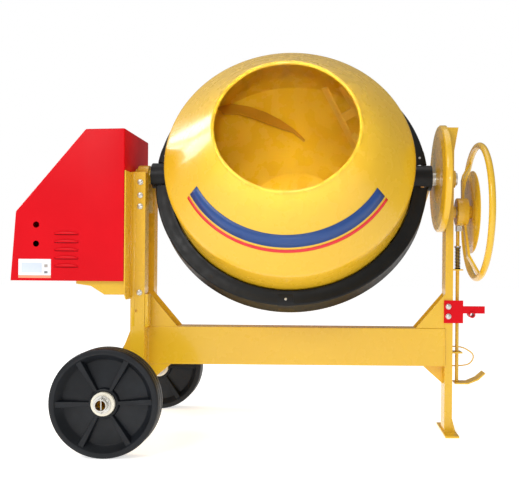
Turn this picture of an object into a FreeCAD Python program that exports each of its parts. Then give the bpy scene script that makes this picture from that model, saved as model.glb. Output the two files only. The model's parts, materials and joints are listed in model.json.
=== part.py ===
import FreeCAD, Part
import Sketcher
import math
import os
import re

# Tilting-drum concrete mixer on two wheels and a foot. Millimetres, +Z up, ground at Z 0.
# X runs along the machine from the drive box (-X) to the handwheel (+X).
# The drum tilts about an axis parallel to X, and its mouth looks towards -Y at rest.

SIZES = {
    # Overall layout
    "axis_height": 993, "mouth_angle": 21, "drum_clearance": 6, "dish_clearance": 15,
    # Main beam and posts
    "beam_top": 408, "beam_height": 146, "beam_depth": 86, "beam_wall": 4,
    "post_left": -472, "post_width": 54, "post_depth": 52, "post_rise": 7, "sheet": 4,
    "post_hole_radius": 5.5, "post_hole_height": 472,
    "column_width": 30, "column_depth": 80, "column_rise": 188,
    "ear_rise": 24, "ear_reach": 30, "ear_drop": 150,
    "gusset_reach": 115, "gusset_rise": 135, "gusset_thickness": 6, "lower_gusset_reach": 86,
    "lower_gusset_drop": 76,
    "foot_overhang": 7, "foot_width": 53, "foot_length": 220, "foot_thickness": 8,
    "foot_gusset_rise": 52,
    # Wheels and axle
    "axle_place": -469, "wheel_radius": 185, "wheel_width": 72, "track": 755,
    "axle_radius": 21, "axle_bore": 17.5, "axle_overhang": 24, "running_gap": 0.05,
    "bush_radius": 40, "bush_length": 82, "collar_radius": 30, "collar_length": 10,
    "washer_thickness": 3, "split_pin_radius": 2.5, "rib_count": 6, "plate_thickness": 8,
    # Drive box
    "box_length": 421, "shoulder_drop": 151, "ridge_length": 146, "box_rise": 161,
    "box_drop": 407, "box_half_depth": 165, "box_wall": 2, "drive_plate_drop": 476,
    "drive_plate_thickness": 5, "shaft_hole_radius": 42, "vent_length": 89, "vent_setback": 169,
    "vent_pitch": 30, "vent_drop": 353, "vent_height": 8, "cover_hole_radius": 11.5,
    "cover_hole_setback": 326, "low_hole_drop": 270, "high_hole_drop": 199.5,
    "shelf_below_axis": 396, "shelf_length": 360, "shelf_reach": 182, "shelf_depth": 300, "shelf_drop": 62,
    "motor_radius": 88, "motor_setback": 115, "motor_length": 230, "motor_lift": 6,
    "fan_cover_length": 45,
    # Belt drive
    "belt_setback": 53, "belt_width": 11, "belt_thickness": 8, "belt_gap": 0.4,
    "driven_pitch_radius": 140, "motor_pitch_radius": 35, "pulley_width": 26,
    "pulley_lip": 7,
    # Gears
    "gear_module": 7, "ring_teeth": 141, "pinion_teeth": 12, "tilt_teeth": 49,
    "tooth_rise": 5.6, "tooth_root": 7.7, "tooth_backlash": 0.55, "gear_face": 34,
    "tilt_face": 18, "pinion_shaft_radius": 17,
    # Drum
    "drum_radius": 469, "drum_wall": 3, "cone_start": 168, "mouth_plane": 397,
    "mouth_radius": 262, "bead_radius": 7, "bowl_start": 64, "bowl_depth": 400,
    "bowl_end_radius": 235, "flange_radius": 516, "flange_thickness": 6,
    "base_thickness": 6, "base_boss_radius": 60, "base_boss_length": 12,
    "spindle_radius": 25, "spindle_end": 490, "spindle_head_radius": 34,
    "fork_width": 36, "fork_thickness": 8, "fork_depth": 190,
    # Gear guard
    "guard_radius": 532.6, "guard_inner_radius": 474, "guard_front": 26, "guard_back": 63,
    "guard_wall": 3, "boss_reach": 547, "boss_radius": 53, "boss_cap_radius": 46,
    # Yoke
    "arm_inner": 535.5, "arm_thickness": 8, "arm_half_width": 40, "arm_bend": 130,
    "yoke_depth": 456, "cross_half_length": 300, "cross_thickness": 12,
    "bearing_radius": 45, "bearing_neck_radius": 34, "trunnion_radius": 30, "right_trunnion_radius": 25,
    # Tilting dish and handwheel
    "dish_depth": 24, "dish_gap": 6, "dish_radius": 209, "dish_wall": 5, "dish_crown": 9,
    "dish_hub_radius": 45, "hub_gap": 16, "hub_length": 44, "hub_radius": 55,
    "wheel_plane_reach": 98, "handwheel_radius": 260, "rim_tube_radius": 12.5,
    "disc_radius": 162, "disc_thickness": 4, "disc_reach": 77, "handwheel_shaft_radius": 15,
    "spoke_width": 34, "spoke_thickness": 9,
    # Brake
    "rod_inset": 8, "rod_radius": 7, "rod_bottom": 196, "shoe_gap": 0.3, "shoe_height": 20,
    "shoe_width": 30, "spring_bottom": 639, "spring_top": 724, "spring_radius": 12,
    "spring_wire": 3, "pedal_width": 60, "pedal_reach": 108, "guide_thickness": 5,
    # Tow bracket and cable hook
    "bracket_lift": 22, "bracket_height": 88, "bracket_wall": 5, "socket_reach": 103,
    "socket_lift": 55, "socket_radius": 12, "socket_bore": 8, "socket_length": 48,
    "bracket_arm_reach": 153, "bracket_arm_height": 28, "hook_radius": 2.5,
    "hook_top": 332,
    # Fasteners
    "bolt_radius": 5, "bolt_head_radius": 9, "bolt_head_height": 6,
}

# Places that follow from the sizes: the frame's ends sit clear of the drum and its guard.
PLACES = {
    "drum_centre": "post_left + post_width + drum_clearance + boss_reach",
    "dish_left": "drum_centre + boss_reach + dish_clearance + dish_crown",
    "dish_right": "dish_left + dish_depth",
    "column_left": "dish_right + dish_gap",
    "foot_left": "column_left - foot_overhang",
    "column_top": "axis_height + column_rise",
    "post_top": "axis_height + post_rise",
    "plate_left": "post_left - drive_plate_thickness",
    "drive_plate_bottom": "axis_height - drive_plate_drop",
    "box_left": "plate_left - box_length",
    "box_ridge": "plate_left - ridge_length",
    "box_shoulder": "axis_height - shoulder_drop",
    "box_top": "axis_height + box_rise",
    "box_bottom": "axis_height - box_drop",
    "vent_right": "plate_left - vent_setback",
    "vent_bottom": "axis_height - vent_drop",
    "cover_hole_place": "plate_left - cover_hole_setback",
    "cover_hole_low": "axis_height - low_hole_drop",
    "cover_hole_high": "axis_height - high_hole_drop",
    "shelf_top": "axis_height - shelf_below_axis",
    "motor_height": "shelf_top + motor_radius + motor_lift",
    "motor_right": "plate_left - motor_setback",
    "belt_place": "plate_left - belt_setback",
    "handwheel_height": "axis_height - gear_module * (tilt_teeth - pinion_teeth) / 2",
    "hub_left": "column_left + column_width + hub_gap",
    "hub_right": "hub_left + hub_length",
    "disc_place": "column_left + column_width + disc_reach",
    "handwheel_plane": "column_left + column_width + wheel_plane_reach",
    "rod_place": "hub_left + rod_inset",
    "pedal_end": "rod_place + pedal_reach",
    "bracket_bottom": "beam_top + bracket_lift",
    "bracket_top": "bracket_bottom + bracket_height",
    "bracket_arm_end": "column_left + bracket_arm_reach",
    "socket_place": "column_left + socket_reach",
    "socket_height": "beam_top + socket_lift",
}

document = FreeCAD.newDocument("ConcreteMixer")
sheet = document.addObject("Spreadsheet::Sheet", "Sizes")
for row, (alias, number) in enumerate(SIZES.items(), start=1):
    sheet.set(f"A{row}", alias)
    sheet.set(f"B{row}", str(number))
    sheet.setAlias(f"B{row}", alias)
document.recompute()

parts = []
X_AXIS = FreeCAD.Vector(1, 0, 0)
Y_AXIS = FreeCAD.Vector(0, 1, 0)
Z_AXIS = FreeCAD.Vector(0, 0, 1)
# A shape drawn along +Z is turned to lie along the named axis.
TURNS = {"X": (Y_AXIS, 90), "Y": (X_AXIS, -90), "Z": (Z_AXIS, 0)}


def full(expression):
    """Writes places out as sizes and gives each size its sheet's name."""
    def named(match):
        word = match.group()
        if word in PLACES:
            return f"({full(PLACES[word])})"
        return f"Sizes.{word}" if word in SIZES else word
    return re.sub(r"[a-z_]+", named, str(expression))


def value(expression):
    return float(sheet.evalExpression(full(expression)))


def keep(thing, label):
    """Marks an object as a finished sub-part, exported under its label."""
    thing.Label = label
    parts.append(thing)
    return thing


def place(thing, base=(0, 0, 0), axis="Z"):
    turn, angle = TURNS[axis]
    rotation = FreeCAD.Rotation(turn, angle)
    thing.Placement = FreeCAD.Placement(FreeCAD.Vector(), rotation)
    for letter, expression in zip("xyz", base):
        thing.setExpression(f".Placement.Base.{letter}", full(expression))
    return thing


def tilt(thing):
    """Carries a shape from the drum's frame (Z is the drum's axis) to its rest place."""
    rotation = FreeCAD.Rotation(X_AXIS, 90 - value("mouth_angle"))
    thing.Placement = FreeCAD.Placement(FreeCAD.Vector(), rotation)
    thing.setExpression(".Placement.Base.x", full("drum_centre"))
    thing.setExpression(".Placement.Base.z", full("axis_height"))
    thing.setExpression(".Placement.Rotation.Angle", full("90 - mouth_angle"))
    return thing


def bound(thing, **sizes):
    for name, expression in sizes.items():
        thing.setExpression(name, full(expression))
    return thing


def box(low, size):
    """A box from its low corner and its three sizes."""
    thing = document.addObject("Part::Box", "Block")
    bound(thing, Length=size[0], Width=size[1], Height=size[2])
    return place(thing, low)


def rod(radius, length, base, axis="Z"):
    thing = document.addObject("Part::Cylinder", "Rod")
    bound(thing, Radius=radius, Height=length)
    return place(thing, base, axis)


def cut(base, *tools):
    thing = document.addObject("Part::Cut", "Cut")
    thing.Base = base
    thing.Tool = tools[0] if len(tools) == 1 else fuse(*tools)
    return thing


def fuse(*pieces):
    thing = document.addObject("Part::MultiFuse", "Fusion")
    thing.Shapes = list(pieces)
    return thing


def common(first, second):
    thing = document.addObject("Part::Common", "Common")
    thing.Base = first
    thing.Tool = second
    return thing


def group(*pieces):
    """Separate solids that share one node."""
    thing = document.addObject("Part::Compound", "Group")
    thing.Links = list(pieces)
    return thing


def outline(plane, points):
    """A body with a closed polygon sketch, each corner bound to the sheet."""
    body = document.addObject("PartDesign::Body", "Body")
    sketch = body.newObject("Sketcher::SketchObject", "Outline")
    origin = [feature for feature in body.Origin.OriginFeatures if feature.Role == plane][0]
    sketch.AttachmentSupport = (origin, "")
    sketch.MapMode = "FlatFace"
    corners = [FreeCAD.Vector(value(x), value(y), 0) for x, y in points]
    count = len(points)
    for i in range(count):
        sketch.addGeometry(Part.LineSegment(corners[i], corners[(i + 1) % count]))
    for i in range(count):
        sketch.addConstraint(Sketcher.Constraint("Coincident", i, 2, (i + 1) % count, 1))
    for i, point in enumerate(points):
        for kind, expression in zip(("DistanceX", "DistanceY"), point):
            distance = Sketcher.Constraint(kind, -1, 1, i, 1, value(expression))
            index = sketch.addConstraint(distance)
            sketch.setExpression(f"Constraints[{index}]", full(expression))
    return body, sketch


def turned(points, base=(0, 0, 0), axis="Z"):
    """A solid of revolution about its own Z; points are (radius, height)."""
    body, sketch = outline("XZ_Plane", points)
    revolution = body.newObject("PartDesign::Revolution", "Revolution")
    revolution.Profile = sketch
    revolution.ReferenceAxis = (sketch, ["V_Axis"])
    revolution.Angle = 360
    return place(body, base, axis)


def padded(plane, points, length, base=(0, 0, 0), symmetric=False):
    """A prism: an XZ outline grows towards -Y, an XY one to +Z and a YZ one to +X."""
    body, sketch = outline(plane, points)
    pad = body.newObject("PartDesign::Pad", "Pad")
    pad.Profile = sketch
    bound(pad, Length=length)
    if symmetric:
        pad.Midplane = True
    return place(body, base)


def shape_part(shape, base=(0, 0, 0), axis="Z"):
    thing = document.addObject("Part::Feature", "Shape")
    thing.Shape = shape
    return place(thing, base, axis)


def involute(angle):
    return math.tan(angle) - angle


def gear_wire(teeth, half_tooth, rise, root, steps=5):
    """Closed outline of an involute gear in XY with a tooth centred on +X."""
    pitch_radius = value("gear_module") * teeth / 2
    pressure = math.radians(20)
    base = pitch_radius * math.cos(pressure)
    low = pitch_radius - root
    high = pitch_radius + rise
    start = max(base, low)
    flank = []
    for i in range(steps + 1):
        radius = start + (high - start) * i / steps
        roll = involute(math.acos(min(1, base / radius)))
        flank.append((radius, half_tooth / pitch_radius + involute(pressure) - roll))
    if low < base:
        flank.insert(0, (low, flank[0][1]))
    points = []
    for tooth in range(teeth):
        middle = 2 * math.pi * tooth / teeth
        side = [(radius, middle - half) for radius, half in flank]
        side += [(radius, middle + half) for radius, half in reversed(flank)]
        points += [FreeCAD.Vector(r * math.cos(t), r * math.sin(t), 0) for r, t in side]
    return Part.makePolygon(points + points[:1])


def half_tooth():
    """Half a tooth's thickness on the pitch line."""
    return math.pi * value("gear_module") / 4 - value("tooth_backlash")


def bolt(base, axis, length, side=1):
    """A bolt whose head lies outside the face at base; it points along the axis."""
    head_shift = "-bolt_head_height" if side > 0 else "0"
    letter = "XYZ".index(axis)
    head_base = list(base)
    head_base[letter] = f"{base[letter]} + ({head_shift})"
    shank_base = list(base)
    if side < 0:
        shank_base[letter] = f"{base[letter]} - ({length})"
    head = rod("bolt_head_radius", "bolt_head_height", head_base, axis)
    shank = rod("bolt_radius", length, shank_base, axis)
    return fuse(head, shank)


# ---------------------------------------------------------------- frame


def make_beam():
    run = "column_left - post_left"
    low = "beam_top - beam_height"
    outer = box(("post_left", "-beam_depth / 2", low), (run, "beam_depth", "beam_height"))
    inner = box(("post_left", "-beam_depth / 2 + beam_wall", f"{low} + beam_wall"),
                (run, "beam_depth - 2 * beam_wall", "beam_height - 2 * beam_wall"))
    keep(cut(outer, inner), "main_beam")


def make_post(front):
    """A channel with its web towards the drum; front is -1 for the post at the mouth side."""
    near = "-beam_depth / 2 - post_depth" if front < 0 else "beam_depth / 2"
    low = "beam_top - beam_height"
    height = f"post_top - ({low})"
    outer = box(("post_left", near, low), ("post_width", "post_depth", height))
    inner = box(("post_left", f"{near} + sheet", low),
                ("post_width - sheet", "post_depth - 2 * sheet", height))
    hole = rod("post_hole_radius", "post_depth * 3",
               ("post_left + 23", f"{near} - post_depth", "post_hole_height"), "Y")
    holes = [hole]
    for height_above in ("post_top - 39", "post_top - 89", "post_top - 131"):
        holes.append(rod("bolt_radius + 0.1", "post_depth * 3",
                         ("post_left + 34", f"{near} - post_depth", height_above), "Y"))
    return cut(outer, inner, *holes)


def make_posts():
    keep(make_post(-1), "left_front_post")
    keep(make_post(1), "left_rear_post")


def make_column():
    front = "-column_depth / 2"
    top = "column_top"
    right = "column_left + column_width"
    outer = box(("column_left", front, "foot_thickness"),
                ("column_width", "column_depth", f"{top} - foot_thickness"))
    inner = box(("column_left + sheet", f"{front} + sheet", "foot_thickness"),
                ("column_width", "column_depth - 2 * sheet", f"{top} - foot_thickness"))
    ear = padded("XZ_Plane", [
        ("column_left", "column_top - ear_drop"), (right, "column_top - ear_drop"),
        (f"{right} + ear_reach", "column_top + ear_rise"),
        ("column_left + ear_rise / 2", "column_top + ear_rise"),
        ("column_left", "column_top")], "sheet", (0, "column_depth / 2", 0))
    trunnion_hole = rod("right_trunnion_radius + 5", "column_width",
                        ("column_left - 5", 0, "axis_height"), "X")
    shaft_hole = rod("handwheel_shaft_radius + 3", "column_width",
                     ("column_left - 5", 0, "handwheel_height"), "X")
    bolt_holes = [rod("bolt_radius + 0.1", 60, ("column_left + 12", "-column_depth", height), "Y")
                  for height in ("bracket_bottom + 26", "bracket_top - 24")]
    keep(cut(fuse(outer, ear), inner, trunnion_hole, shaft_hole, *bolt_holes), "right_column")


def triangle(corner, reach, rise, near):
    """An upright triangular plate; near is its low Y."""
    x, z = corner
    return padded("XZ_Plane", [(x, z), (f"{x} + ({reach})", z), (x, f"{z} + ({rise})")],
                  "gusset_thickness", (0, f"{near} + gusset_thickness", 0))


def make_gussets():
    sides = ("-beam_depth / 2", "beam_depth / 2 - gusset_thickness")
    left = [triangle(("post_left + post_width", "beam_top"), "gusset_reach", "gusset_rise", y)
            for y in sides]
    keep(group(*left), "left_gussets")
    column_sides = ("-column_depth / 2", "column_depth / 2 - gusset_thickness")
    right = [triangle(("column_left", "beam_top"), "-gusset_reach", "gusset_rise", y)
             for y in column_sides]
    right.append(triangle(("column_left", "beam_top - beam_height"), "-lower_gusset_reach",
                          "-lower_gusset_drop", "-gusset_thickness / 2"))
    keep(group(*right), "right_gussets")


def make_axle_plates():
    """Tapered plates that carry the axle under the beam and run up beside the posts."""
    low = "beam_top - beam_height"
    points = [("post_left", low), ("post_left + 141", low),
              ("axle_place + 54", "wheel_radius + 5"), ("axle_place + 54", "wheel_radius - 25"),
              ("axle_place + 24", "wheel_radius - 55"), ("axle_place - 21", "wheel_radius - 55"),
              ("axle_place - 53", "wheel_radius - 25"), ("axle_place - 53", "wheel_radius + 115"),
              ("axle_place - 17", "beam_top - 15"), ("post_left", "beam_top - 15")]
    plates = []
    for near in ("-beam_depth / 2", "beam_depth / 2 - plate_thickness"):
        plate = padded("XZ_Plane", points, "plate_thickness", (0, f"{near} + plate_thickness", 0))
        hole = rod("axle_radius", "beam_depth * 2",
                   ("axle_place", "-beam_depth", "wheel_radius"), "Y")
        plates.append(cut(plate, hole))
    keep(group(*plates), "axle_plates")


def axle_end():
    return "(track / 2 + wheel_width / 2 + axle_overhang)"


def make_axle():
    end = axle_end()
    base = ("axle_place", f"-{end}", "wheel_radius")
    tube = cut(rod("axle_radius", f"2 * {end}", base, "Y"),
               rod("axle_bore", f"2 * {end}", base, "Y"))
    pins = []
    for side in (-1, 1):
        pins.append(rod("split_pin_radius", "2 * axle_radius + 14",
                        ("axle_place", pin_place(side), "wheel_radius - axle_radius - 7")))
    keep(cut(tube, *pins), "axle_tube")


def pin_place(side):
    return f"{side} * ({axle_end()} - 8)"


def make_retainers():
    """Collars inside and washers with split pins outside, which keep the wheels on."""
    pieces = []
    bush_out = "(track / 2 + bush_length / 2)"
    bush_in = "(track / 2 - bush_length / 2)"
    for side in (-1, 1):
        collar_low = f"-{bush_in} + 1" if side < 0 else f"{bush_in} - 1 - collar_length"
        washer_low = (f"-{bush_out} - 1 - washer_thickness" if side < 0 else f"{bush_out} + 1")
        for low, length in ((collar_low, "collar_length"), (washer_low, "washer_thickness")):
            base = ("axle_place", low, "wheel_radius")
            pieces.append(cut(rod("collar_radius", length, base, "Y"),
                              rod("axle_radius", length, base, "Y")))
        pieces.append(rod("split_pin_radius", "2 * axle_radius + 14",
                          ("axle_place", pin_place(side), "wheel_radius - axle_radius - 7")))
    keep(group(*pieces), "wheel_retainers")


def make_foot():
    plate = box(("foot_left", "-foot_length / 2", 0),
                ("foot_width", "foot_length", "foot_thickness"))
    right = "column_left + column_width"
    ribs = []
    for near in ("-column_depth / 2", "column_depth / 2 - gusset_thickness"):
        ribs.append(padded("XZ_Plane", [
            (right, "foot_thickness"), ("foot_left + foot_width - 2", "foot_thickness"),
            (right, "foot_thickness + foot_gusset_rise")],
            "gusset_thickness", (0, f"{near} + gusset_thickness", 0)))
    keep(fuse(plate, *ribs), "foot_plate")


# ---------------------------------------------------------------- drive box


def make_drive_plate():
    """Upright plate on the posts that closes the drive box towards the drum."""
    bevel = 22
    low = "drive_plate_bottom"
    half = "box_half_depth"
    plate = padded("YZ_Plane", [
        (f"-{half}", f"{low} + {bevel}"), (f"-{half} + {bevel}", low), (f"{half} - {bevel}", low),
        (half, f"{low} + {bevel}"), (half, "post_top - 2"), (f"-{half}", "post_top - 2")],
        "drive_plate_thickness", ("plate_left", 0, 0))
    keep(cut(plate, shaft_opening()), "drive_plate")


def shaft_opening():
    return rod("shaft_hole_radius", 60, ("plate_left - 20", 0, "axis_height"), "X")


def make_shelf():
    """Tray under the motor: a flat top and two cheeks with a stepped lower edge."""
    right = "plate_left"
    top = box((f"{right} - shelf_length", "-shelf_depth / 2", "shelf_top - sheet"),
              ("shelf_length", "shelf_depth", "sheet"))
    cheeks = []
    for near in ("-shelf_depth / 2", "shelf_depth / 2 - sheet"):
        cheeks.append(padded("XZ_Plane", [
            (right, "shelf_top"), (f"{right} - shelf_reach", "shelf_top"),
            (f"{right} - shelf_reach", "shelf_top - 22"),
            (f"{right} - shelf_reach * 0.7", "shelf_top - 30"),
            (f"{right} - shelf_reach * 0.42", "shelf_top - shelf_drop"),
            (right, "shelf_top - shelf_drop")], "sheet", (0, f"{near} + sheet", 0)))
    keep(fuse(top, *cheeks), "motor_shelf")


def make_motor():
    left = "motor_right - motor_length"
    height = "motor_height"
    body = rod("motor_radius", "motor_length", (left, 0, height), "X")
    feet = box((f"{left} + 40", -75, "shelf_top"), ("motor_length - 60", 150, 40))
    terminal = box((f"{left} + 70", -50, f"{height} + motor_radius - 12"), (100, 100, 52))
    shaft_bore = rod(12, 60, ("motor_right - 50", 0, height), "X")
    keep(cut(fuse(body, feet, terminal), shaft_bore), "motor_body")
    keep(turned([(0, "fan_cover_length"), ("motor_radius", "fan_cover_length"),
                 ("motor_radius", 10), ("motor_radius - 10", 0), (0, 0)],
                (f"{left} - fan_cover_length", 0, height), "X"), "motor_fan_cover")


def make_cover():
    """Folded sheet housing, open below and towards the drive plate."""
    right = "plate_left"
    wall = "box_wall"
    top_left = "box_left + 18"
    shell = padded("XZ_Plane", [
        (right, "box_bottom"), ("box_left", "box_bottom"), (top_left, "box_shoulder"),
        ("box_ridge", "box_top - 4"), (right, "box_top")],
        "2 * box_half_depth", symmetric=True)
    inside = padded("XZ_Plane", [
        (f"{right} + 1", "box_bottom - 1"), (f"box_left + {wall}", "box_bottom - 1"),
        (f"{top_left} + {wall}", f"box_shoulder - {wall} / 2"),
        (f"box_ridge + {wall} / 2", f"box_top - 4 - {wall}"), (f"{right} + 1", f"box_top - {wall}")],
        "2 * (box_half_depth - box_wall)", symmetric=True)
    openings = [shaft_opening()]
    front = "-box_half_depth - 5"
    for height in ("cover_hole_low", "cover_hole_high"):
        openings.append(rod("cover_hole_radius", 20, ("cover_hole_place", front, height), "Y"))
    for i in range(5):
        openings.append(box(("vent_right - vent_length", front, f"vent_bottom + {i} * vent_pitch"),
                            ("vent_length", 20, "vent_height")))
    end_wall = box((f"{right} - box_wall", "-box_half_depth + box_wall", "post_top - 2"),
                   ("box_wall", "2 * (box_half_depth - box_wall)", "box_top - post_top"))
    open_shell = cut(shell, inside)
    keep(cut(fuse(open_shell, end_wall), *openings), "housing_cover")


def pulley(pitch_radius, bore, place_name):
    """A one-groove pulley; the belt lies on its pitch circle."""
    half = "pulley_width / 2"
    groove = "(belt_width / 2 + 1)"
    floor = f"{pitch_radius} - belt_thickness / 2 - belt_gap"
    edge = f"{pitch_radius} + pulley_lip"
    return turned([
        (bore, f"-{half}"), (edge, f"-{half}"), (edge, f"-{groove}"), (floor, f"-{groove}"),
        (floor, groove), (edge, groove), (edge, half), (bore, half)], place_name, "X")


def belt_wire(driven, motor, gap):
    """Loop of two arcs and two tangents in the YZ plane, the driven circle above."""
    angle = math.asin((driven - motor) / gap)
    side = FreeCAD.Vector(0, math.cos(angle), -math.sin(angle))
    mirrored = FreeCAD.Vector(0, -side.y, side.z)
    top = FreeCAD.Vector(0, 0, gap)
    ends = [top + side * driven, top + mirrored * driven, mirrored * motor, side * motor]
    crown = FreeCAD.Vector(0, 0, gap + driven)
    foot = FreeCAD.Vector(0, 0, -motor)
    edges = [Part.Arc(ends[0], crown, ends[1]).toShape(), Part.makeLine(ends[1], ends[2]),
             Part.Arc(ends[2], foot, ends[3]).toShape(), Part.makeLine(ends[3], ends[0])]
    return Part.Wire(edges)


def make_belt_drive():
    gap = value("axis_height") - value("motor_height")
    half = value("belt_thickness") / 2
    driven = value("driven_pitch_radius")
    motor = value("motor_pitch_radius")
    width = FreeCAD.Vector(value("belt_width"), 0, 0)
    outer = Part.Face(belt_wire(driven + half, motor + half, gap)).extrude(width)
    inner = Part.Face(belt_wire(driven - half, motor - half, gap)).extrude(width)
    keep(shape_part(outer.cut(inner), ("belt_place - belt_width / 2", 0, "motor_height")),
         "drive_belt")
    keep(pulley("driven_pitch_radius", "pinion_shaft_radius", ("belt_place", 0, "axis_height")),
         "driven_pulley")
    wheel = pulley("motor_pitch_radius", 9, ("belt_place", 0, "motor_height"))
    shaft = rod(10, "belt_place + pulley_width / 2 - motor_right + 40",
                ("motor_right - 40", 0, "motor_height"), "X")
    keep(fuse(wheel, shaft), "motor_pulley")


# ---------------------------------------------------------------- bearings on the frame


def make_left_bearing():
    half_gap = "beam_depth / 2"
    saddle_top = "(axis_height - 58)"
    saddle = box(("post_left + 4", f"-{half_gap}", "post_top - 150"),
                 ("post_width - 8", "beam_depth", f"{saddle_top} - (post_top - 150)"))
    holes = []
    for height in ("post_top - 89", "post_top - 131"):
        holes.append(rod("bolt_radius + 0.1", "beam_depth * 2",
                         ("post_left + 34", "-beam_depth", height), "Y"))
    keep(cut(saddle, *holes), "bearing_saddle")
    left = "post_left + 6"
    width = "post_width - 12"
    foot = box((left, f"-{half_gap} + 1", saddle_top), (width, "beam_depth - 2", 20))
    ring = rod("trunnion_radius + 13", width, (left, 0, "axis_height"), "X")
    neck = box((left, -30, saddle_top), (width, 60, 40))
    bore = rod("trunnion_radius + running_gap", "post_width * 2",
               (f"{left} - 20", 0, "axis_height"), "X")
    keep(cut(fuse(foot, ring, neck), bore), "left_bearing_block")


def make_right_bearings():
    """Flange bearing of the right trunnion and the handwheel's bearing, inside the channel."""
    web = "column_left + sheet"
    flange = box((web, "-column_depth / 2 + sheet", "axis_height - 36"),
                 (8, "column_depth - 2 * sheet", 72))
    barrel = rod("right_trunnion_radius + 9", 36, (web, 0, "axis_height"), "X")
    bore = rod("right_trunnion_radius + running_gap", 80,
               ("column_left - 10", 0, "axis_height"), "X")
    keep(cut(fuse(flange, barrel), bore), "right_bearing")
    height = "handwheel_height"
    plate = box((web, "-column_depth / 2 + sheet", f"{height} - 36"),
                (8, "column_depth - 2 * sheet", 72))
    tube = rod("handwheel_shaft_radius + 8", "hub_left - 2 - column_left - sheet",
               (web, 0, height), "X")
    hole = rod("handwheel_shaft_radius + running_gap", 90, ("column_left - 10", 0, height), "X")
    keep(cut(fuse(plate, tube), hole), "handwheel_bearing")


def make_frame_bolts():
    """Bolts of the bearing saddle, front and back, and of the tow bracket."""
    bolts = []
    front = "-beam_depth / 2 - post_depth"
    back = "beam_depth / 2 + post_depth"
    for height in ("post_top - 39", "post_top - 89", "post_top - 131"):
        bolts.append(bolt(("post_left + 34", front, height), "Y", "post_depth - 2"))
        bolts.append(bolt(("post_left + 34", back, height), "Y", "post_depth - 2", side=-1))
    for height in ("bracket_bottom + 26", "bracket_top - 24"):
        bolts.append(bolt(("column_left + 12", "-column_depth / 2 - bracket_wall", height), "Y",
                          "bracket_wall + sheet + 8"))
    keep(group(*bolts), "frame_bolts")


def make_tow_bracket():
    """Plate on the column's front with an arm and a cross tube that takes a pull handle."""
    front = "-column_depth / 2"
    plate = box(("column_left - bracket_wall", f"{front} - bracket_wall", "bracket_bottom"),
                ("column_width + 44", "bracket_wall", "bracket_top - bracket_bottom"))
    arm_top = "bracket_top - 22"
    arm = box(("column_left + column_width", f"{front} - bracket_wall",
               f"{arm_top} - bracket_arm_height"),
              ("bracket_arm_end - column_left - column_width", "bracket_wall + 5",
               "bracket_arm_height"))
    near = f"{front} - bracket_wall - 8"
    socket = rod("socket_radius", "socket_length", ("socket_place", near, "socket_height"), "Y")
    bore = rod("socket_bore", "socket_length * 2",
               ("socket_place", f"{near} - 20", "socket_height"), "Y")
    holes = [bore]
    for height in ("bracket_bottom + 26", "bracket_top - 24"):
        holes.append(rod("bolt_radius", 60, ("column_left + 12", "-column_depth", height), "Y"))
    keep(cut(fuse(plate, arm, socket), *holes), "tow_bracket")


def bent_rod(points, radius):
    """A round bar along straight runs joined by tangent arcs."""
    edges = []
    start = points[0]
    for i in range(1, len(points) - 1):
        before = (points[i - 1] - points[i])
        after = (points[i + 1] - points[i])
        room = 0.45 * min(before.Length, after.Length)
        half_turn = (math.pi - before.getAngle(after)) / 2
        first = points[i] + before.normalize() * room
        last = points[i] + after.normalize() * room
        inward = (before + after).normalize()
        bend = room / math.tan(half_turn)
        middle = points[i] + inward * (bend / math.cos(half_turn) - bend)
        edges.append(Part.makeLine(start, first))
        edges.append(Part.Arc(first, middle, last).toShape())
        start = last
    edges.append(Part.makeLine(start, points[-1]))
    wire = Part.Wire(edges)
    direction = points[1] - points[0]
    circle = Part.Wire(Part.makeCircle(radius, points[0], direction))
    return wire.makePipeShell([circle], True, False)


def make_cable_hook():
    """Thin loop beside the column that the power lead is hung on."""
    radius = value("hook_radius")
    root = value("column_left + sheet")
    back = value("column_depth / 2 - sheet") - radius
    top = value("hook_top")
    ways = [(root, 0, top), (root + 82, 0, top - 4), (root + 126, -10, top - 34),
            (root + 108, -14, top - 70), (root + 58, -6, top - 80), (root, 0, top - 76)]
    points = [FreeCAD.Vector(x, back + y, z) for x, y, z in ways]
    keep(shape_part(bent_rod(points, radius)), "cable_hook")


def make_rod_guides():
    """Two ears on the column, which guide the brake rod and seat its spring."""
    ears = []
    for top in ("spring_bottom", "rod_bottom + 120"):
        ear = box(("column_left + sheet", "-column_depth / 2 + sheet", f"{top} - guide_thickness"),
                  ("rod_place + 16 - column_left - sheet", "column_depth / 2 - sheet + 20",
                   "guide_thickness"))
        hole = rod("rod_radius + 0.4", 40, ("rod_place", 0, f"{top} - 20"))
        ears.append(cut(ear, hole))
    keep(group(*ears), "rod_guides")


# ---------------------------------------------------------------- drum and yoke


def make_cone():
    wall = "drum_wall"
    rim = "(mouth_radius - bead_radius)"
    cone = turned([
        (f"drum_radius - {wall}", 0), ("drum_radius", 0), ("drum_radius", "cone_start"),
        (f"{rim} + {wall} / 2", "mouth_plane - bead_radius"),
        (f"{rim} - {wall} / 2", "mouth_plane - bead_radius"),
        (f"drum_radius - {wall}", f"cone_start - {wall} * 0.5")])
    bead = document.addObject("Part::Torus", "Bead")
    bound(bead, Radius1=rim, Radius2="bead_radius")
    place(bead, (0, 0, "mouth_plane - bead_radius"))
    keep(tilt(fuse(cone, bead)), "drum_cone")


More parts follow.
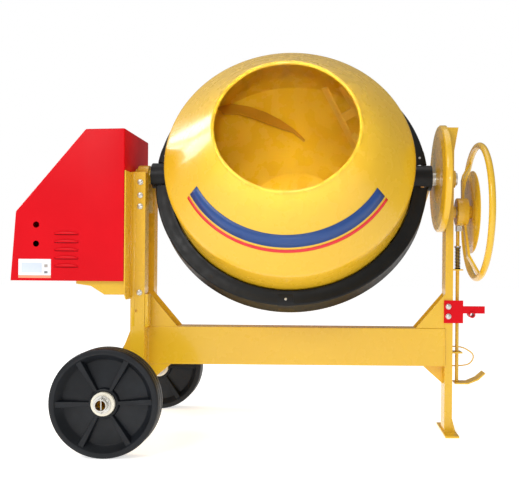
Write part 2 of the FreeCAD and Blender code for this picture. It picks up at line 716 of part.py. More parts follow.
def make_bowl():
    wall = "drum_wall"
    start = "-bowl_start"
    back = "(-bowl_start - flange_thickness)"
    slope = "((drum_radius - bowl_end_radius) / (bowl_depth - bowl_start))"
    bowl = turned([
        (f"drum_radius - {wall}", 0), ("drum_radius", 0), ("drum_radius", start),
        ("flange_radius", start), ("flange_radius", back),
        (f"drum_radius - {slope} * flange_thickness", back),
        ("bowl_end_radius", "-bowl_depth"), (f"bowl_end_radius - {wall} * 1.2", "-bowl_depth"),
        (f"drum_radius - {wall}", f"{start} + {wall} * 0.3")])
    keep(tilt(bowl), "drum_bowl")
    base = turned([
        (0, "-bowl_depth"), ("bowl_end_radius", "-bowl_depth"),
        ("bowl_end_radius", "-bowl_depth - base_thickness"),
        ("base_boss_radius", "-bowl_depth - base_thickness"),
        ("base_boss_radius", "-bowl_depth - base_thickness - base_boss_length"),
        (0, "-bowl_depth - base_thickness - base_boss_length")])
    keep(tilt(base), "drum_base")
    top = "(-bowl_depth - base_thickness - base_boss_length)"
    spindle = turned([
        (0, top), ("spindle_radius", top), ("spindle_radius", "-spindle_end + 10"),
        ("spindle_head_radius", "-spindle_end + 10"), ("spindle_head_radius", "-spindle_end + 2"),
        ("spindle_head_radius - 2", "-spindle_end"), (0, "-spindle_end")])
    keep(tilt(spindle), "drum_spindle")


def ring_pitch_plane():
    """The crown gear's pitch plane touches the pinion's pitch circle below the tilt axis."""
    return -value("gear_module") * value("pinion_teeth") / 2


def make_ring_gear():
    """Crown gear in three segments with radial rack teeth, a gap centred on the pinion."""
    teeth = round(value("ring_teeth"))
    module = value("gear_module")
    pitch_radius = module * teeth / 2
    inner = pitch_radius - value("gear_face") / 2
    outer = pitch_radius + value("gear_face") / 2
    plane = ring_pitch_plane()
    root = plane - value("tooth_root")
    tip = plane + value("tooth_rise")
    low = -value("bowl_start")
    lean = math.tan(math.radians(20))
    half = half_tooth()
    wide = half + (value("tooth_root") + 1) * lean
    narrow = half - value("tooth_rise") * lean
    profile = [(inner, -wide, root - 1), (inner, wide, root - 1),
               (inner, narrow, tip), (inner, -narrow, tip)]
    corners = [FreeCAD.Vector(*point) for point in profile]
    face = Part.Face(Part.makePolygon(corners + corners[:1]))
    tooth = face.extrude(FreeCAD.Vector(outer - inner, 0, 0))
    step = 360 / teeth
    per_segment = teeth // 3
    band = Part.makePolygon([FreeCAD.Vector(inner - 1, 0, low), FreeCAD.Vector(outer + 1, 0, low),
                             FreeCAD.Vector(outer + 1, 0, root),
                             FreeCAD.Vector(inner - 1, 0, root),
                             FreeCAD.Vector(inner - 1, 0, low)])
    joint = 0.06
    sector = Part.Face(band).revolve(FreeCAD.Vector(), Z_AXIS, 120 - joint)
    sector.rotate(FreeCAD.Vector(), Z_AXIS, joint / 2)
    copies = []
    for i in range(per_segment):
        copy = tooth.copy()
        copy.rotate(FreeCAD.Vector(), Z_AXIS, (i + 0.5) * step)
        copies.append(copy)
    segment = sector.multiFuse(copies)
    segments = []
    for i in range(3):
        copy = segment.copy()
        copy.rotate(FreeCAD.Vector(), Z_AXIS, 180 + 120 * i)
        segments.append(copy)
    ring = document.addObject("Part::Feature", "RingGear")
    ring.Shape = Part.makeCompound(segments)
    keep(tilt(ring), "ring_gear")


def make_pinion():
    """Spur pinion on the tilt axis; one tooth points into the crown gear's gap."""
    teeth = round(value("pinion_teeth"))
    wire = gear_wire(teeth, half_tooth(), value("tooth_rise"), value("tooth_root"))
    bore = Part.Face(Part.Wire(Part.makeCircle(value("pinion_shaft_radius"))))
    blank = Part.Face(wire).cut(bore).extrude(FreeCAD.Vector(0, 0, value("gear_face") - 2))
    # Turned to X the first tooth points down; in the drum's frame that is away from the mouth.
    gear = shape_part(blank, ("1 - gear_module * ring_teeth / 2 - gear_face / 2", 0, 0), "X")
    keep(tilt(group(gear)), "drive_pinion")
    end = "(drum_centre - gear_module * ring_teeth / 2 + gear_face / 2)"
    start = "(belt_place - pulley_width / 2 - 6)"
    keep(rod("pinion_shaft_radius", f"{end} - {start}", (start, 0, "axis_height"), "X"),
         "pinion_shaft")


def flat_bar(start, end, outward, width, thickness):
    """A flat bar between two points, its width square to the wall's outward direction."""
    run = end - start
    along = FreeCAD.Vector(run).normalize()
    across = FreeCAD.Vector(along).cross(outward).normalize()
    through = across.cross(along).normalize()
    corners = []
    for a, b in ((-1, -1), (1, -1), (1, 1), (-1, 1)):
        corners.append(start + across * (a * width / 2) + through * (b * thickness / 2))
    face = Part.Face(Part.makePolygon(corners + corners[:1]))
    return face.extrude(run)


def polar(radius, angle, height):
    turn = math.radians(angle)
    return FreeCAD.Vector(radius * math.cos(turn), radius * math.sin(turn), height)


def drum_inner_radius(height):
    """Radius inside the drum's wall at a height along its axis."""
    wall = value("drum_wall")
    radius = value("drum_radius")
    if height > value("cone_start"):
        slope = ((radius - value("mouth_radius") + value("bead_radius"))
                 / (value("mouth_plane") - value("bead_radius") - value("cone_start")))
        return radius - wall * 1.3 - slope * (height - value("cone_start"))
    if height < -value("bowl_start"):
        slope = ((radius - value("bowl_end_radius"))
                 / (value("bowl_depth") - value("bowl_start")))
        return radius - wall * 1.3 + slope * (height + value("bowl_start"))
    return radius - wall


def make_fork(angle):
    """A fork blade: two bars joined by a cross bar, on two legs bolted to the wall."""
    width = value("fork_width")
    thick = value("fork_thickness")
    deep = -value("fork_depth")
    near = value("fork_depth") / 4
    low_a = polar(drum_inner_radius(deep) - 22, angle - 14.5, deep)
    high_a = polar(drum_inner_radius(10) - 33, angle + 16.5, 10)
    low_b = polar(drum_inner_radius(-80) - 46, angle - 18, -80)
    high_b = polar(drum_inner_radius(near) - 28, angle + 7, near)
    outward = polar(1, angle, 0)
    bars = [flat_bar(low_a, high_a, outward, width, thick),
            flat_bar(low_b, high_b, outward, width, thick)]
    middle_a = (low_a + high_a) * 0.5
    middle_b = (low_b + high_b) * 0.5
    bars.append(flat_bar(middle_a, middle_b, outward, width, thick))
    for point in (low_a * 0.85 + high_a * 0.15, low_b * 0.12 + high_b * 0.88):
        radial = FreeCAD.Vector(point.x, point.y, 0)
        wall = FreeCAD.Vector(radial).normalize() * (drum_inner_radius(point.z) - 0.6)
        end = FreeCAD.Vector(wall.x, wall.y, point.z)
        bars.append(flat_bar(point, end, Z_AXIS, width, thick))
    return bars[0].multiFuse(bars[1:])


def make_blades():
    inside = make_inside()
    forks = [make_fork(angle).common(inside) for angle in (57, 177, 297)]
    blades = document.addObject("Part::Feature", "Forks")
    blades.Shape = Part.makeCompound(forks)
    keep(tilt(blades), "fork_blades")
    sections = []
    steps = 7
    for i in range(steps):
        share = i / (steps - 1)
        angle = 134 - 50 * share
        height = -20 - 240 * share
        rise = 12 + 58 * math.sin(math.pi * min(1, 0.15 + share)) ** 0.7
        outer = drum_inner_radius(height) + 1
        turn = math.radians(angle)
        along = FreeCAD.Vector(math.sin(turn), -math.cos(turn), -0.75).normalize()
        side = along.cross(polar(1, angle, 0)).normalize() * 3
        near = polar(outer, angle, height)
        far = polar(outer - rise, angle, height)
        sections.append(Part.makePolygon([near - side, far - side, far + side, near + side,
                                          near - side]))
    fin = document.addObject("Part::Feature", "Fin")
    fin.Shape = Part.makeLoft(sections, True, True).common(inside)
    keep(tilt(fin), "curved_fin")


def make_inside():
    """The drum's inner space, which trims the blades' feet 0.2 mm off the wall."""
    heights = [-value("bowl_depth") + 1, -value("bowl_start") - 1, value("cone_start"), 360]
    profile = [FreeCAD.Vector(0, 0, heights[0])]
    profile += [FreeCAD.Vector(drum_inner_radius(height) - 0.2, 0, height) for height in heights]
    profile += [FreeCAD.Vector(0, 0, heights[-1]), FreeCAD.Vector(0, 0, heights[0])]
    return Part.Face(Part.makePolygon(profile)).revolve(FreeCAD.Vector(), Z_AXIS, 360)


def make_guard():
    """Black moulded guard over the ring gear, in two halves that lap at the joints."""
    wall = "guard_wall"
    ring = turned([
        ("guard_inner_radius", "guard_front"), ("guard_radius", "guard_front"),
        ("guard_radius", "-guard_back"), (f"guard_radius - {wall}", "-guard_back"),
        (f"guard_radius - {wall}", f"guard_front - {wall}"),
        (f"guard_inner_radius + {wall}", f"guard_front - {wall}"),
        (f"guard_inner_radius + {wall}", "guard_front - 9"),
        ("guard_inner_radius", "guard_front - 9")])
    shaft_hole = rod("pinion_shaft_radius + 4", 200, ("-guard_radius - 50", 0, 0), "X")
    windows = [shaft_hole]
    for side in (-1, 1):
        low = "-guard_radius - 10" if side < 0 else "guard_inner_radius - 10"
        windows.append(rod("boss_radius - guard_wall", "guard_radius - guard_inner_radius + 20",
                           (low, 0, 0), "X"))
    keepers = box(("-guard_radius - 60", "-guard_radius", "guard_front - 2 * guard_wall"),
                  ("2 * guard_radius + 120", "2 * guard_radius", 60))
    openings = common(fuse(*windows[1:]), keepers)
    keep(tilt(cut(ring, openings, shaft_hole)), "gear_guard")
    keep(tilt(group(make_boss(-1), make_boss(1))), "guard_bosses")


def make_boss(side):
    """A cap over the yoke's end and the part of the pinion that stands out of the guard."""
    wall = "guard_wall"
    span = "(boss_reach - guard_inner_radius)"
    low = "-boss_reach" if side < 0 else "guard_inner_radius"
    ridge = rod("boss_radius", span, (low, 0, 0), "X")
    above = box(("-boss_reach - 10", "-boss_radius", "guard_front"),
                ("2 * boss_reach + 20", "2 * boss_radius", "boss_radius"))
    hood = common(ridge, above)
    cap_low = "-boss_reach" if side < 0 else "guard_radius + 0.4"
    cap = rod("boss_cap_radius", "boss_reach - guard_radius - 0.4", (cap_low, 0, 0), "X")
    hollow_low = f"-boss_reach + {wall}" if side < 0 else "guard_inner_radius - 1"
    hollow = rod(f"boss_radius - {wall}", f"{span} - {wall} + 1", (hollow_low, 0, 0), "X")
    trim = box(("-boss_reach - 10", "-boss_radius", "-boss_radius"),
               ("2 * boss_reach + 20", "2 * boss_radius", "boss_radius + guard_front"))
    hood_hollow = cut(hollow, trim)
    cap_hollow_low = f"-boss_reach + {wall}" if side < 0 else "guard_radius - 1"
    cap_hollow = rod(f"boss_cap_radius - {wall}", f"boss_reach - guard_radius - {wall} + 1",
                     (cap_hollow_low, 0, 0), "X")
    slot = box((f"{cap_hollow_low} - 1", "-arm_half_width - 1", "-boss_radius"),
               (f"boss_reach - guard_radius - {wall} + 2", "2 * arm_half_width + 2",
                "boss_radius"))
    bore = "trunnion_radius + 3" if side < 0 else "right_trunnion_radius + 3"
    hole = rod(bore, 60, ("-boss_reach - 30" if side < 0 else "boss_reach - 30", 0, 0), "X")
    return cut(fuse(hood, cap), hood_hollow, cap_hollow, slot, hole)


def make_yoke():
    for side, name in ((-1, "yoke_left_arm"), (1, "yoke_right_arm")):
        outer = "(arm_inner + arm_thickness)"
        low = "(-yoke_depth - cross_thickness)"
        end = "(cross_half_length - arm_thickness)"
        ends = [("arm_inner", 0), (outer, 0), (outer, "-arm_bend - 3"),
                ("cross_half_length + 5", low), (f"{end} - 5", low), ("arm_inner", "-arm_bend")]
        points = [(f"{side} * ({x})", z) for x, z in ends]
        strip = padded("XZ_Plane", points, "2 * arm_half_width", symmetric=True)
        eye_low = f"-{outer}" if side < 0 else "arm_inner"
        eye = rod("arm_half_width", "arm_thickness", (eye_low, 0, 0), "X")
        bore = "pinion_shaft_radius + 1" if side < 0 else "right_trunnion_radius"
        hole = rod(bore, "4 * arm_thickness", (f"{eye_low} - arm_thickness", 0, 0), "X")
        slack = cut(fuse(strip, eye), hole)
        keep(tilt(slack), name)
    bar = box(("-cross_half_length + arm_thickness + 5", "-arm_half_width",
               "-yoke_depth - cross_thickness"),
              ("2 * (cross_half_length - arm_thickness - 5)", "2 * arm_half_width",
               "cross_thickness"))
    seat = rod("bearing_neck_radius", "2 * cross_thickness", (0, 0, "-yoke_depth - 18"))
    keep(tilt(cut(bar, seat)), "yoke_cross_bar")
    start = "(-bowl_depth - base_thickness - base_boss_length - 2)"
    bore = "(spindle_radius + running_gap)"
    keep(tilt(turned([
        (bore, start), ("bearing_radius", start), ("bearing_radius", "-yoke_depth"),
        ("bearing_neck_radius", "-yoke_depth"), ("bearing_neck_radius", "-spindle_end + 12"),
        (bore, "-spindle_end + 12")])), "spindle_bearing")


def make_trunnions():
    left_face = "(drum_centre - arm_inner - arm_thickness)"
    length = f"({left_face} - (post_left - 6))"
    base = ("post_left - 6", 0, "axis_height")
    tube = cut(rod("trunnion_radius", length, base, "X"),
               rod("pinion_shaft_radius + running_gap", length, base, "X"))
    keep(tube, "left_trunnion")
    keep(rod("right_trunnion_radius", "column_left + sheet + 44 - (drum_centre + arm_inner)",
             ("drum_centre + arm_inner", 0, "axis_height"), "X"), "right_trunnion")


def make_tilt_gear():
    hub = "right_trunnion_radius"
    crown = "dish_left - dish_crown"
    dish = turned([
        (hub, crown), ("dish_hub_radius", crown), ("dish_radius - 14", "dish_left"),
        ("dish_radius", "dish_left + 3"), ("dish_radius", "dish_right"),
        ("dish_radius - dish_wall", "dish_right"), ("dish_radius - dish_wall", "dish_left + dish_wall"),
        ("dish_hub_radius", f"{crown} + dish_wall"), (hub, f"{crown} + dish_wall")],
        (0, 0, "axis_height"), "X")
    keep(dish, "tilt_dish")
    teeth = round(value("tilt_teeth"))
    pitch = math.pi * value("gear_module")
    gap = gear_wire(teeth, pitch / 2 - half_tooth(), value("tooth_root"), value("tooth_rise"))
    outer = Part.Face(Part.Wire(Part.makeCircle(value("dish_radius - dish_wall"))))
    face = outer.cut(Part.Face(gap))
    solid = face.extrude(FreeCAD.Vector(0, 0, value("tilt_face")))
    keep(shape_part(solid, ("dish_right - 1 - tilt_face", 0, "axis_height"), "X"), "tilt_gear")


# ---------------------------------------------------------------- handwheel and brake


def make_handwheel():
    height = "handwheel_height"
    pinion_wire = gear_wire(round(value("pinion_teeth")), half_tooth(), value("tooth_rise"),
                            value("tooth_root"))
    bore = Part.Face(Part.Wire(Part.makeCircle(value("handwheel_shaft_radius"))))
    blank = Part.Face(pinion_wire).cut(bore).extrude(FreeCAD.Vector(0, 0, value("tilt_face")))
    start = "(dish_right - 1 - tilt_face)"
    keep(shape_part(blank, (start, 0, height), "X"), "tilt_pinion")
    keep(rod("handwheel_shaft_radius", f"disc_place + 12 - {start}", (start, 0, height), "X"),
         "handwheel_shaft")
    hub = turned([
        ("handwheel_shaft_radius", "hub_left"), ("hub_radius", "hub_left"),
        ("hub_radius", "hub_right"), (26, "hub_right"), (26, "disc_place - 2"),
        ("handwheel_shaft_radius", "disc_place - 2")], (0, 0, height), "X")
    keep(hub, "handwheel_hub")
    disc = turned([
        ("handwheel_shaft_radius", "disc_place - 2"), (26, "disc_place - 2"),
        ("disc_radius", "disc_place - 2"), ("disc_radius", "disc_place - 2 + disc_thickness"),
        ("handwheel_shaft_radius", "disc_place - 2 + disc_thickness")], (0, 0, height), "X")
    keep(disc, "handwheel_disc")
    rim = document.addObject("Part::Torus", "Rim")
    bound(rim, Radius1="handwheel_radius", Radius2="rim_tube_radius")
    keep(place(rim, ("handwheel_plane", 0, height), "X"), "handwheel_rim")
    spokes = []
    for angle in (190, 35):
        turn = math.radians(angle)
        direction = FreeCAD.Vector(0, math.sin(turn), math.cos(turn))
        inner = value("hub_left + 32")
        first = direction * (value("hub_radius") - 0.5) + FreeCAD.Vector(inner, 0, 0)
        knee = direction * (value("disc_radius") + 14) + FreeCAD.Vector(inner + 12, 0, 0)
        last = direction * (value("handwheel_radius - rim_tube_radius")) \
            + FreeCAD.Vector(value("handwheel_plane"), 0, 0)
        bars = [flat_bar(first, knee, X_AXIS, value("spoke_width"), value("spoke_thickness")),
                flat_bar(knee, last, X_AXIS, value("spoke_width"), value("spoke_thickness"))]
        joint = Part.makeCylinder(value("spoke_thickness") / 2, value("spoke_width"),
                                  FreeCAD.Vector(), direction.cross(X_AXIS))
        centre = direction.cross(X_AXIS).normalize() * (-value("spoke_width") / 2)
        joint.translate(knee + centre)
        hub_solid = Part.makeCylinder(value("hub_radius"), 80, FreeCAD.Vector(inner - 40, 0, 0),
                                      X_AXIS)
        rim_solid = Part.makeTorus(value("handwheel_radius"), value("rim_tube_radius"),
                                   FreeCAD.Vector(value("handwheel_plane"), 0, 0), X_AXIS)
        spokes.append(bars[0].multiFuse([bars[1], joint]).cut(hub_solid).cut(rim_solid))
    keep(shape_part(Part.makeCompound(spokes), (0, 0, height)), "handwheel_spokes")


def make_brake():
    height = "handwheel_height"
    top = f"({height} - hub_radius - shoe_gap)"
    shoe = box(("rod_place - 7", "-shoe_width / 2", f"{top} - shoe_height"),
               ("shoe_width / 2 + 7", "shoe_width", "shoe_height + 4"))
    drum = rod("hub_radius + shoe_gap", 80, ("rod_place - 30", 0, height), "X")
    keep(cut(shoe, drum), "brake_shoe")
    keep(rod("rod_radius", f"{top} - shoe_height - rod_bottom",
             ("rod_place", 0, "rod_bottom")), "brake_rod")
    outer = rod("spring_radius", "spring_top - spring_bottom", ("rod_place", 0, "spring_bottom"))
    inner = rod("spring_radius - spring_wire", "spring_top - spring_bottom",
                ("rod_place", 0, "spring_bottom"))
    collar = rod("spring_radius + 1", 6, ("rod_place", 0, "spring_top"))
    bore = rod("rod_radius", 6, ("rod_place", 0, "spring_top"))
    keep(cut(outer, inner), "brake_spring")
    keep(cut(collar, bore), "spring_collar")
    left = "rod_place - 12"
    pedal = padded("XZ_Plane", [
        (left, "rod_bottom - 6"), ("rod_place + 40", "rod_bottom - 6"),
        ("rod_place + 80", "rod_bottom + 10"), ("pedal_end", "rod_bottom + 36"),
        ("pedal_end - 3", "rod_bottom + 40"), ("rod_place + 77", "rod_bottom + 16"),
        ("rod_place + 40", "rod_bottom"), (left, "rod_bottom")],
        "pedal_width", symmetric=True)
    keep(pedal, "brake_pedal")


# ---------------------------------------------------------------- wheels


def make_wheel(side, name):
    """A moulded wheel: tread, rim, dished web with raised ribs and a hub."""
    half = "wheel_width / 2"
    rim = "(wheel_radius - 30)"
    centre = ("axle_place", f"{side} * track / 2", "wheel_radius")
    body = turned([
        ("bush_radius", f"-{half} + 8"), ("bush_radius + 12", f"-{half} + 4"),
        ("bush_radius + 14", -14), (rim, -10), (rim, f"-{half} + 3"), (f"{rim} + 4", f"-{half}"),
        ("wheel_radius - 9", f"-{half}"), ("wheel_radius", f"-{half} + 9"),
        ("wheel_radius", f"{half} - 9"), ("wheel_radius - 9", half), (f"{rim} + 4", half),
        (rim, f"{half} - 3"), (rim, 10), ("bush_radius + 14", 14),
        ("bush_radius + 12", f"{half} - 4"), ("bush_radius", f"{half} - 8")], centre, "Y")
    ribs = []
    count = round(value("rib_count"))
    for i in range(count):
        rib = document.addObject("Part::Box", "Rib")
        bound(rib, Length="wheel_radius - 30 - bush_radius - 8", Width=14, Height="wheel_width - 30")
        turn = FreeCAD.Rotation(Y_AXIS, 360 / count * i + 2)
        shift = turn.multVec(FreeCAD.Vector(value("bush_radius + 10"), 0, -7))
        rib.Placement = FreeCAD.Placement(shift, turn.multiply(FreeCAD.Rotation(X_AXIS, 90)))
        rib.Placement.Base = rib.Placement.Base + FreeCAD.Vector(0, value("wheel_width - 30") / 2, 0)
        ribs.append(rib)
    star = fuse(*ribs)
    place(star, centre)
    keep(fuse(body, star), name)


def make_bush(side, name):
    """White nylon hub bush with a flange at each end."""
    half = "bush_length / 2"
    centre = ("axle_place", f"{side} * track / 2", "wheel_radius")
    inner = "axle_radius + running_gap"
    keep(turned([
        (inner, f"-{half}"), ("bush_radius", f"-{half}"), ("bush_radius", half),
        (inner, half)], centre, "Y"), name)


make_beam()
make_posts()
make_column()
make_gussets()
make_axle_plates()
make_axle()
make_retainers()
make_foot()
make_drive_plate()
make_shelf()
make_motor()
make_cover()
make_belt_drive()
make_left_bearing()
make_right_bearings()
make_frame_bolts()
make_tow_bracket()
make_cable_hook()
make_rod_guides()
make_cone()
make_bowl()
make_ring_gear()
make_pinion()
make_blades()
make_guard()
make_yoke()
make_trunnions()
make_tilt_gear()
make_handwheel()
make_brake()
for wheel_side, wheel_name in ((-1, "front"), (1, "rear")):
    make_wheel(wheel_side, f"{wheel_name}_wheel")
    make_bush(wheel_side, f"{wheel_name}_hub_bush")

document.recompute()

for thing in document.Objects:
    if "Invalid" in thing.State or "Error" in thing.State:
        raise RuntimeError(f"{thing.Name} ({thing.Label}) failed: {thing.State}")
for part in parts:
    if part.Shape.isNull() or not part.Shape.isValid():
        raise RuntimeError(f"{part.Label} has no valid shape")

os.makedirs("parts", exist_ok=True)
for part in parts:
    part.Shape.exportStep(f"parts/{part.Label}.step")
    limits = part.Shape.BoundBox
    print(f"{part.Label}: {len(part.Shape.Solids)} solid(s), {part.Shape.Volume / 1000:.0f} cm3,"
          f" X {limits.XMin:.0f}..{limits.XMax:.0f} Y {limits.YMin:.0f}..{limits.YMax:.0f}"
          f" Z {limits.ZMin:.0f}..{limits.ZMax:.0f}")
print(len(parts), "sub-parts")
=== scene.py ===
import json
import math

import bmesh
import bpy
from mathutils import Matrix, Vector

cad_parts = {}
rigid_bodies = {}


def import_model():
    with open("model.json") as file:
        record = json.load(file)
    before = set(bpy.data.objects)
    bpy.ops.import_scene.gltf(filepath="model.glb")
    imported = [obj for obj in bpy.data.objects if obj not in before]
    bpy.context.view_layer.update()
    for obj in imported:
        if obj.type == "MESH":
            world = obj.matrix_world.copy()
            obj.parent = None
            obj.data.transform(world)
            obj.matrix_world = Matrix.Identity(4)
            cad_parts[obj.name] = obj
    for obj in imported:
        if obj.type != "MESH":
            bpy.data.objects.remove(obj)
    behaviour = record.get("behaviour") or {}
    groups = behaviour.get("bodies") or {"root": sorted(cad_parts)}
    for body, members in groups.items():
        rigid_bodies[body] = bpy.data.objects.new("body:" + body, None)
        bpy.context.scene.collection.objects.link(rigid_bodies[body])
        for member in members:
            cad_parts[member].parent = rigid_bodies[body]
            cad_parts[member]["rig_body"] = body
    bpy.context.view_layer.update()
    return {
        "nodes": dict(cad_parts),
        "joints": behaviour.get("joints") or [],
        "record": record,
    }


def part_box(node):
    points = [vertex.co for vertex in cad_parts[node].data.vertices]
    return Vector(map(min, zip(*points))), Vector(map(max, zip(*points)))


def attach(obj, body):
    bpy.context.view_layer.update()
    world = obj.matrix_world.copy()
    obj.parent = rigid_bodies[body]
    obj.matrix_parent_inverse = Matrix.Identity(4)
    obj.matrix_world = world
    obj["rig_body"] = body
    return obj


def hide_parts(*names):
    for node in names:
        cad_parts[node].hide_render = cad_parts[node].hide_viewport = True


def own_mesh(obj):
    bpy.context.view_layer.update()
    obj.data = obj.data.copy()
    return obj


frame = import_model()
nodes = frame["nodes"]
joints = {joint["name"]: joint for joint in frame["joints"]}

# Shapes are drawn in millimetres and turned to metres when they are finished.
mmPerMetre = 1000


def turnPoint(name):
    return Vector(joints[name]["pos_m"]) * mmPerMetre


def box(name):
    low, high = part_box(name)
    return low * mmPerMetre, high * mmPerMetre


# The drum's own frame: Z runs out of the mouth and X is the tilt axis.
drumAxis = Vector(joints["drum_spin"]["axis"]).normalized()
drumUp = drumAxis.cross(Vector((1, 0, 0)))
drumFrame = Matrix.Translation(turnPoint("drum_spin")) @ Matrix(
    ((1, drumUp.x, drumAxis.x), (0, drumUp.y, drumAxis.y), (0, drumUp.z, drumAxis.z))).to_4x4()

view = {"place": (0.281, -2.6847, 0.6865), "lens": 47.2, "roll": 0.5, "shift": (-0.1331, 0.0115)}

# Each lamp: place, aim, size in metres, and power.
lamps = {
    "keySoftbox": ((-1.9, -3.4, 3.2), (0.1, 0, 0.8), (2.0, 1.5), 54),
    "mouthSnoot": ((0.135, -2.24, 1.853), (0.135, 0, 0.993), (0.16, 0.16), 0.7, 18),
    "lowSnoot": ((0.24, -2.8, 0.95), (0.135, 0, 1.17), (0.08, 0.08), 0.45, 16),
    "cameraFlash": ((0.16, -3.0, 0.80), (0.05, 0, 0.75), (0.34, 0.26), 6),
    "topPanel": ((0.0, 0.3, 4.2), (0.1, 0, 0.6), (2.6, 2.6), 28),
    "windowLowLeft": ((-2.9, 0.5, 1.95), (0.1, -0.2, 1.1), (0.5, 0.5), 7),
    "windowLowRight": ((-2.75, 1.15, 1.95), (0.1, -0.2, 1.1), (0.5, 0.5), 7),
    "windowHighLeft": ((-2.9, 0.5, 2.6), (0.1, -0.2, 1.1), (0.5, 0.5), 7),
    "windowHighRight": ((-2.75, 1.15, 2.6), (0.1, -0.2, 1.1), (0.5, 0.5), 7),
}
studio = {"sky": 0.42, "skyLean": (-0.16, -0.20, 0.04), "floor": "#FBFBFA", "floorGlow": 0.62}


def makeCamera():
    data = bpy.data.cameras.new("camera")
    data.lens = view["lens"]
    data.shift_x, data.shift_y = view["shift"]
    data.clip_end = 60
    camera = bpy.data.objects.new("camera", data)
    upright = Matrix.Rotation(math.radians(90), 4, "X")
    roll = Matrix.Rotation(math.radians(view["roll"]), 4, "Z")
    camera.matrix_world = Matrix.Translation(view["place"]) @ upright @ roll
    bpy.context.scene.collection.objects.link(camera)
    bpy.context.scene.camera = camera


def makeLamp(name, place, aim, size, power, spread=180):
    data = bpy.data.lights.new(name, "AREA")
    data.shape = "RECTANGLE"
    data.size, data.size_y = size
    data.energy = power
    data.spread = math.radians(spread)
    lamp = bpy.data.objects.new(name, data)
    direction = Vector(aim) - Vector(place)
    turn = direction.to_track_quat("-Z", "Y").to_matrix().to_4x4()
    lamp.matrix_world = Matrix.Translation(place) @ turn
    bpy.context.scene.collection.objects.link(lamp)


def linear(hexColour):
    # sRGB hex to linear light, as the shaders want it
    channels = [int(hexColour[i:i + 2], 16) / 255 for i in (1, 3, 5)]
    return tuple(c / 12.92 if c <= 0.04045 else ((c + 0.055) / 1.055) ** 2.4 for c in channels) + (1,)


def add(tree, kind, settings=None, links=None):
    node = tree.nodes.new(kind)
    for name, value in (settings or {}).items():
        if isinstance(name, str) and hasattr(node, name):
            setattr(node, name, value)
        else:
            node.inputs[name].default_value = value
    for name, source in (links or {}).items():
        tree.links.new(source, node.inputs[name])
    return node


def makeStudio():
    print("studio")
    world = bpy.data.worlds.new("studio")
    world.use_nodes = True
    tree = world.node_tree
    # A pale room that is brighter in front and on the left, behind a white sweep.
    direction = add(tree, "ShaderNodeTexCoord").outputs["Generated"]
    lean = add(tree, "ShaderNodeVectorMath", {"operation": "DOT_PRODUCT", 1: studio["skyLean"]},
               {0: direction})
    room = add(tree, "ShaderNodeMath", {"operation": "ADD", 1: studio["sky"]},
               {0: lean.outputs["Value"]})
    ray = add(tree, "ShaderNodeLightPath").outputs["Is Camera Ray"]
    strength = add(tree, "ShaderNodeMix", {3: 1.0}, {0: ray, 2: room.outputs[0]})
    background = tree.nodes["Background"]
    background.inputs["Color"].default_value = linear("#FFFFFF")
    tree.links.new(strength.outputs[0], background.inputs["Strength"])
    bpy.context.scene.world = world
    bpy.context.scene.view_settings.view_transform = "Standard"
    for name, settings in lamps.items():
        makeLamp(name, *settings)
    shape = bmesh.new()
    bmesh.ops.create_grid(shape, x_segments=1, y_segments=1, size=12)
    mesh = bpy.data.meshes.new("floor")
    shape.to_mesh(mesh)
    shape.free()
    floor = bpy.data.objects.new("floor", mesh)
    bpy.context.scene.collection.objects.link(floor)
    paper = bpy.data.materials.new("backlitStudioPaper")
    paper.use_nodes = True
    shader = paper.node_tree.nodes["Principled BSDF"]
    shader.inputs["Base Color"].default_value = linear(studio["floor"])
    shader.inputs["Roughness"].default_value = 0.9
    shader.inputs["Specular IOR Level"].default_value = 0.1
    shader.inputs["Emission Color"].default_value = linear("#FFFFFF")
    shader.inputs["Emission Strength"].default_value = studio["floorGlow"]
    mesh.materials.append(paper)


def perMm(size):
    # a pattern's scale from the real size of its grain
    return mmPerMetre / size


def startMaterial(name, slot, roughness, metallic=0.0):
    material = bpy.data.materials.new(name)
    material.use_nodes = True
    material["slot"] = slot
    tree = material.node_tree
    shader = tree.nodes["Principled BSDF"]
    shader.inputs["Roughness"].default_value = roughness
    shader.inputs["Metallic"].default_value = metallic
    place = add(tree, "ShaderNodeTexCoord").outputs["Object"]
    return material, tree, shader, place


# Air-dried machine enamel, sprayed on steel. It flows out glossy, with a faint orange peel, its
# colour deepens where the coat is thick, and floor dust dulls it in soft patches.
def sprayedEnamel(name, slot, body, shade, roughness, coat, specular=0.5):
    material, tree, shader, place = startMaterial(name, slot, roughness)
    build = add(tree, "ShaderNodeTexNoise", {"Scale": perMm(240), "Detail": 2.0}, {"Vector": place})
    depth = add(tree, "ShaderNodeMapRange", {"From Min": 0.35, "From Max": 0.65},
                {"Value": build.outputs["Fac"]})
    colour = add(tree, "ShaderNodeMix", {"data_type": "RGBA", 6: linear(shade), 7: linear(body)},
                 {0: depth.outputs["Result"]})
    tree.links.new(colour.outputs[2], shader.inputs["Base Color"])
    dust = add(tree, "ShaderNodeTexNoise", {"Scale": perMm(60), "Detail": 5.0}, {"Vector": place})
    dull = add(tree, "ShaderNodeMapRange", {
        "From Min": 0.4, "From Max": 0.7, "To Min": roughness - 0.01, "To Max": roughness + 0.03},
        {"Value": dust.outputs["Fac"]})
    tree.links.new(dull.outputs["Result"], shader.inputs["Roughness"])
    shader.inputs["Specular IOR Level"].default_value = specular
    shader.inputs["Coat Weight"].default_value = coat
    shader.inputs["Coat Roughness"].default_value = 0.07
    # orange peel is near 2 mm wide; it is drawn at 6 mm, so that it shows at this distance
    peel = add(tree, "ShaderNodeTexNoise", {"Scale": perMm(6), "Detail": 1.0}, {"Vector": place})
    skin = add(tree, "ShaderNodeBump", {"Strength": 0.3, "Distance": 0.00005},
               {"Height": peel.outputs["Fac"]})
    tree.links.new(skin.outputs["Normal"], shader.inputs["Normal"])
    return material


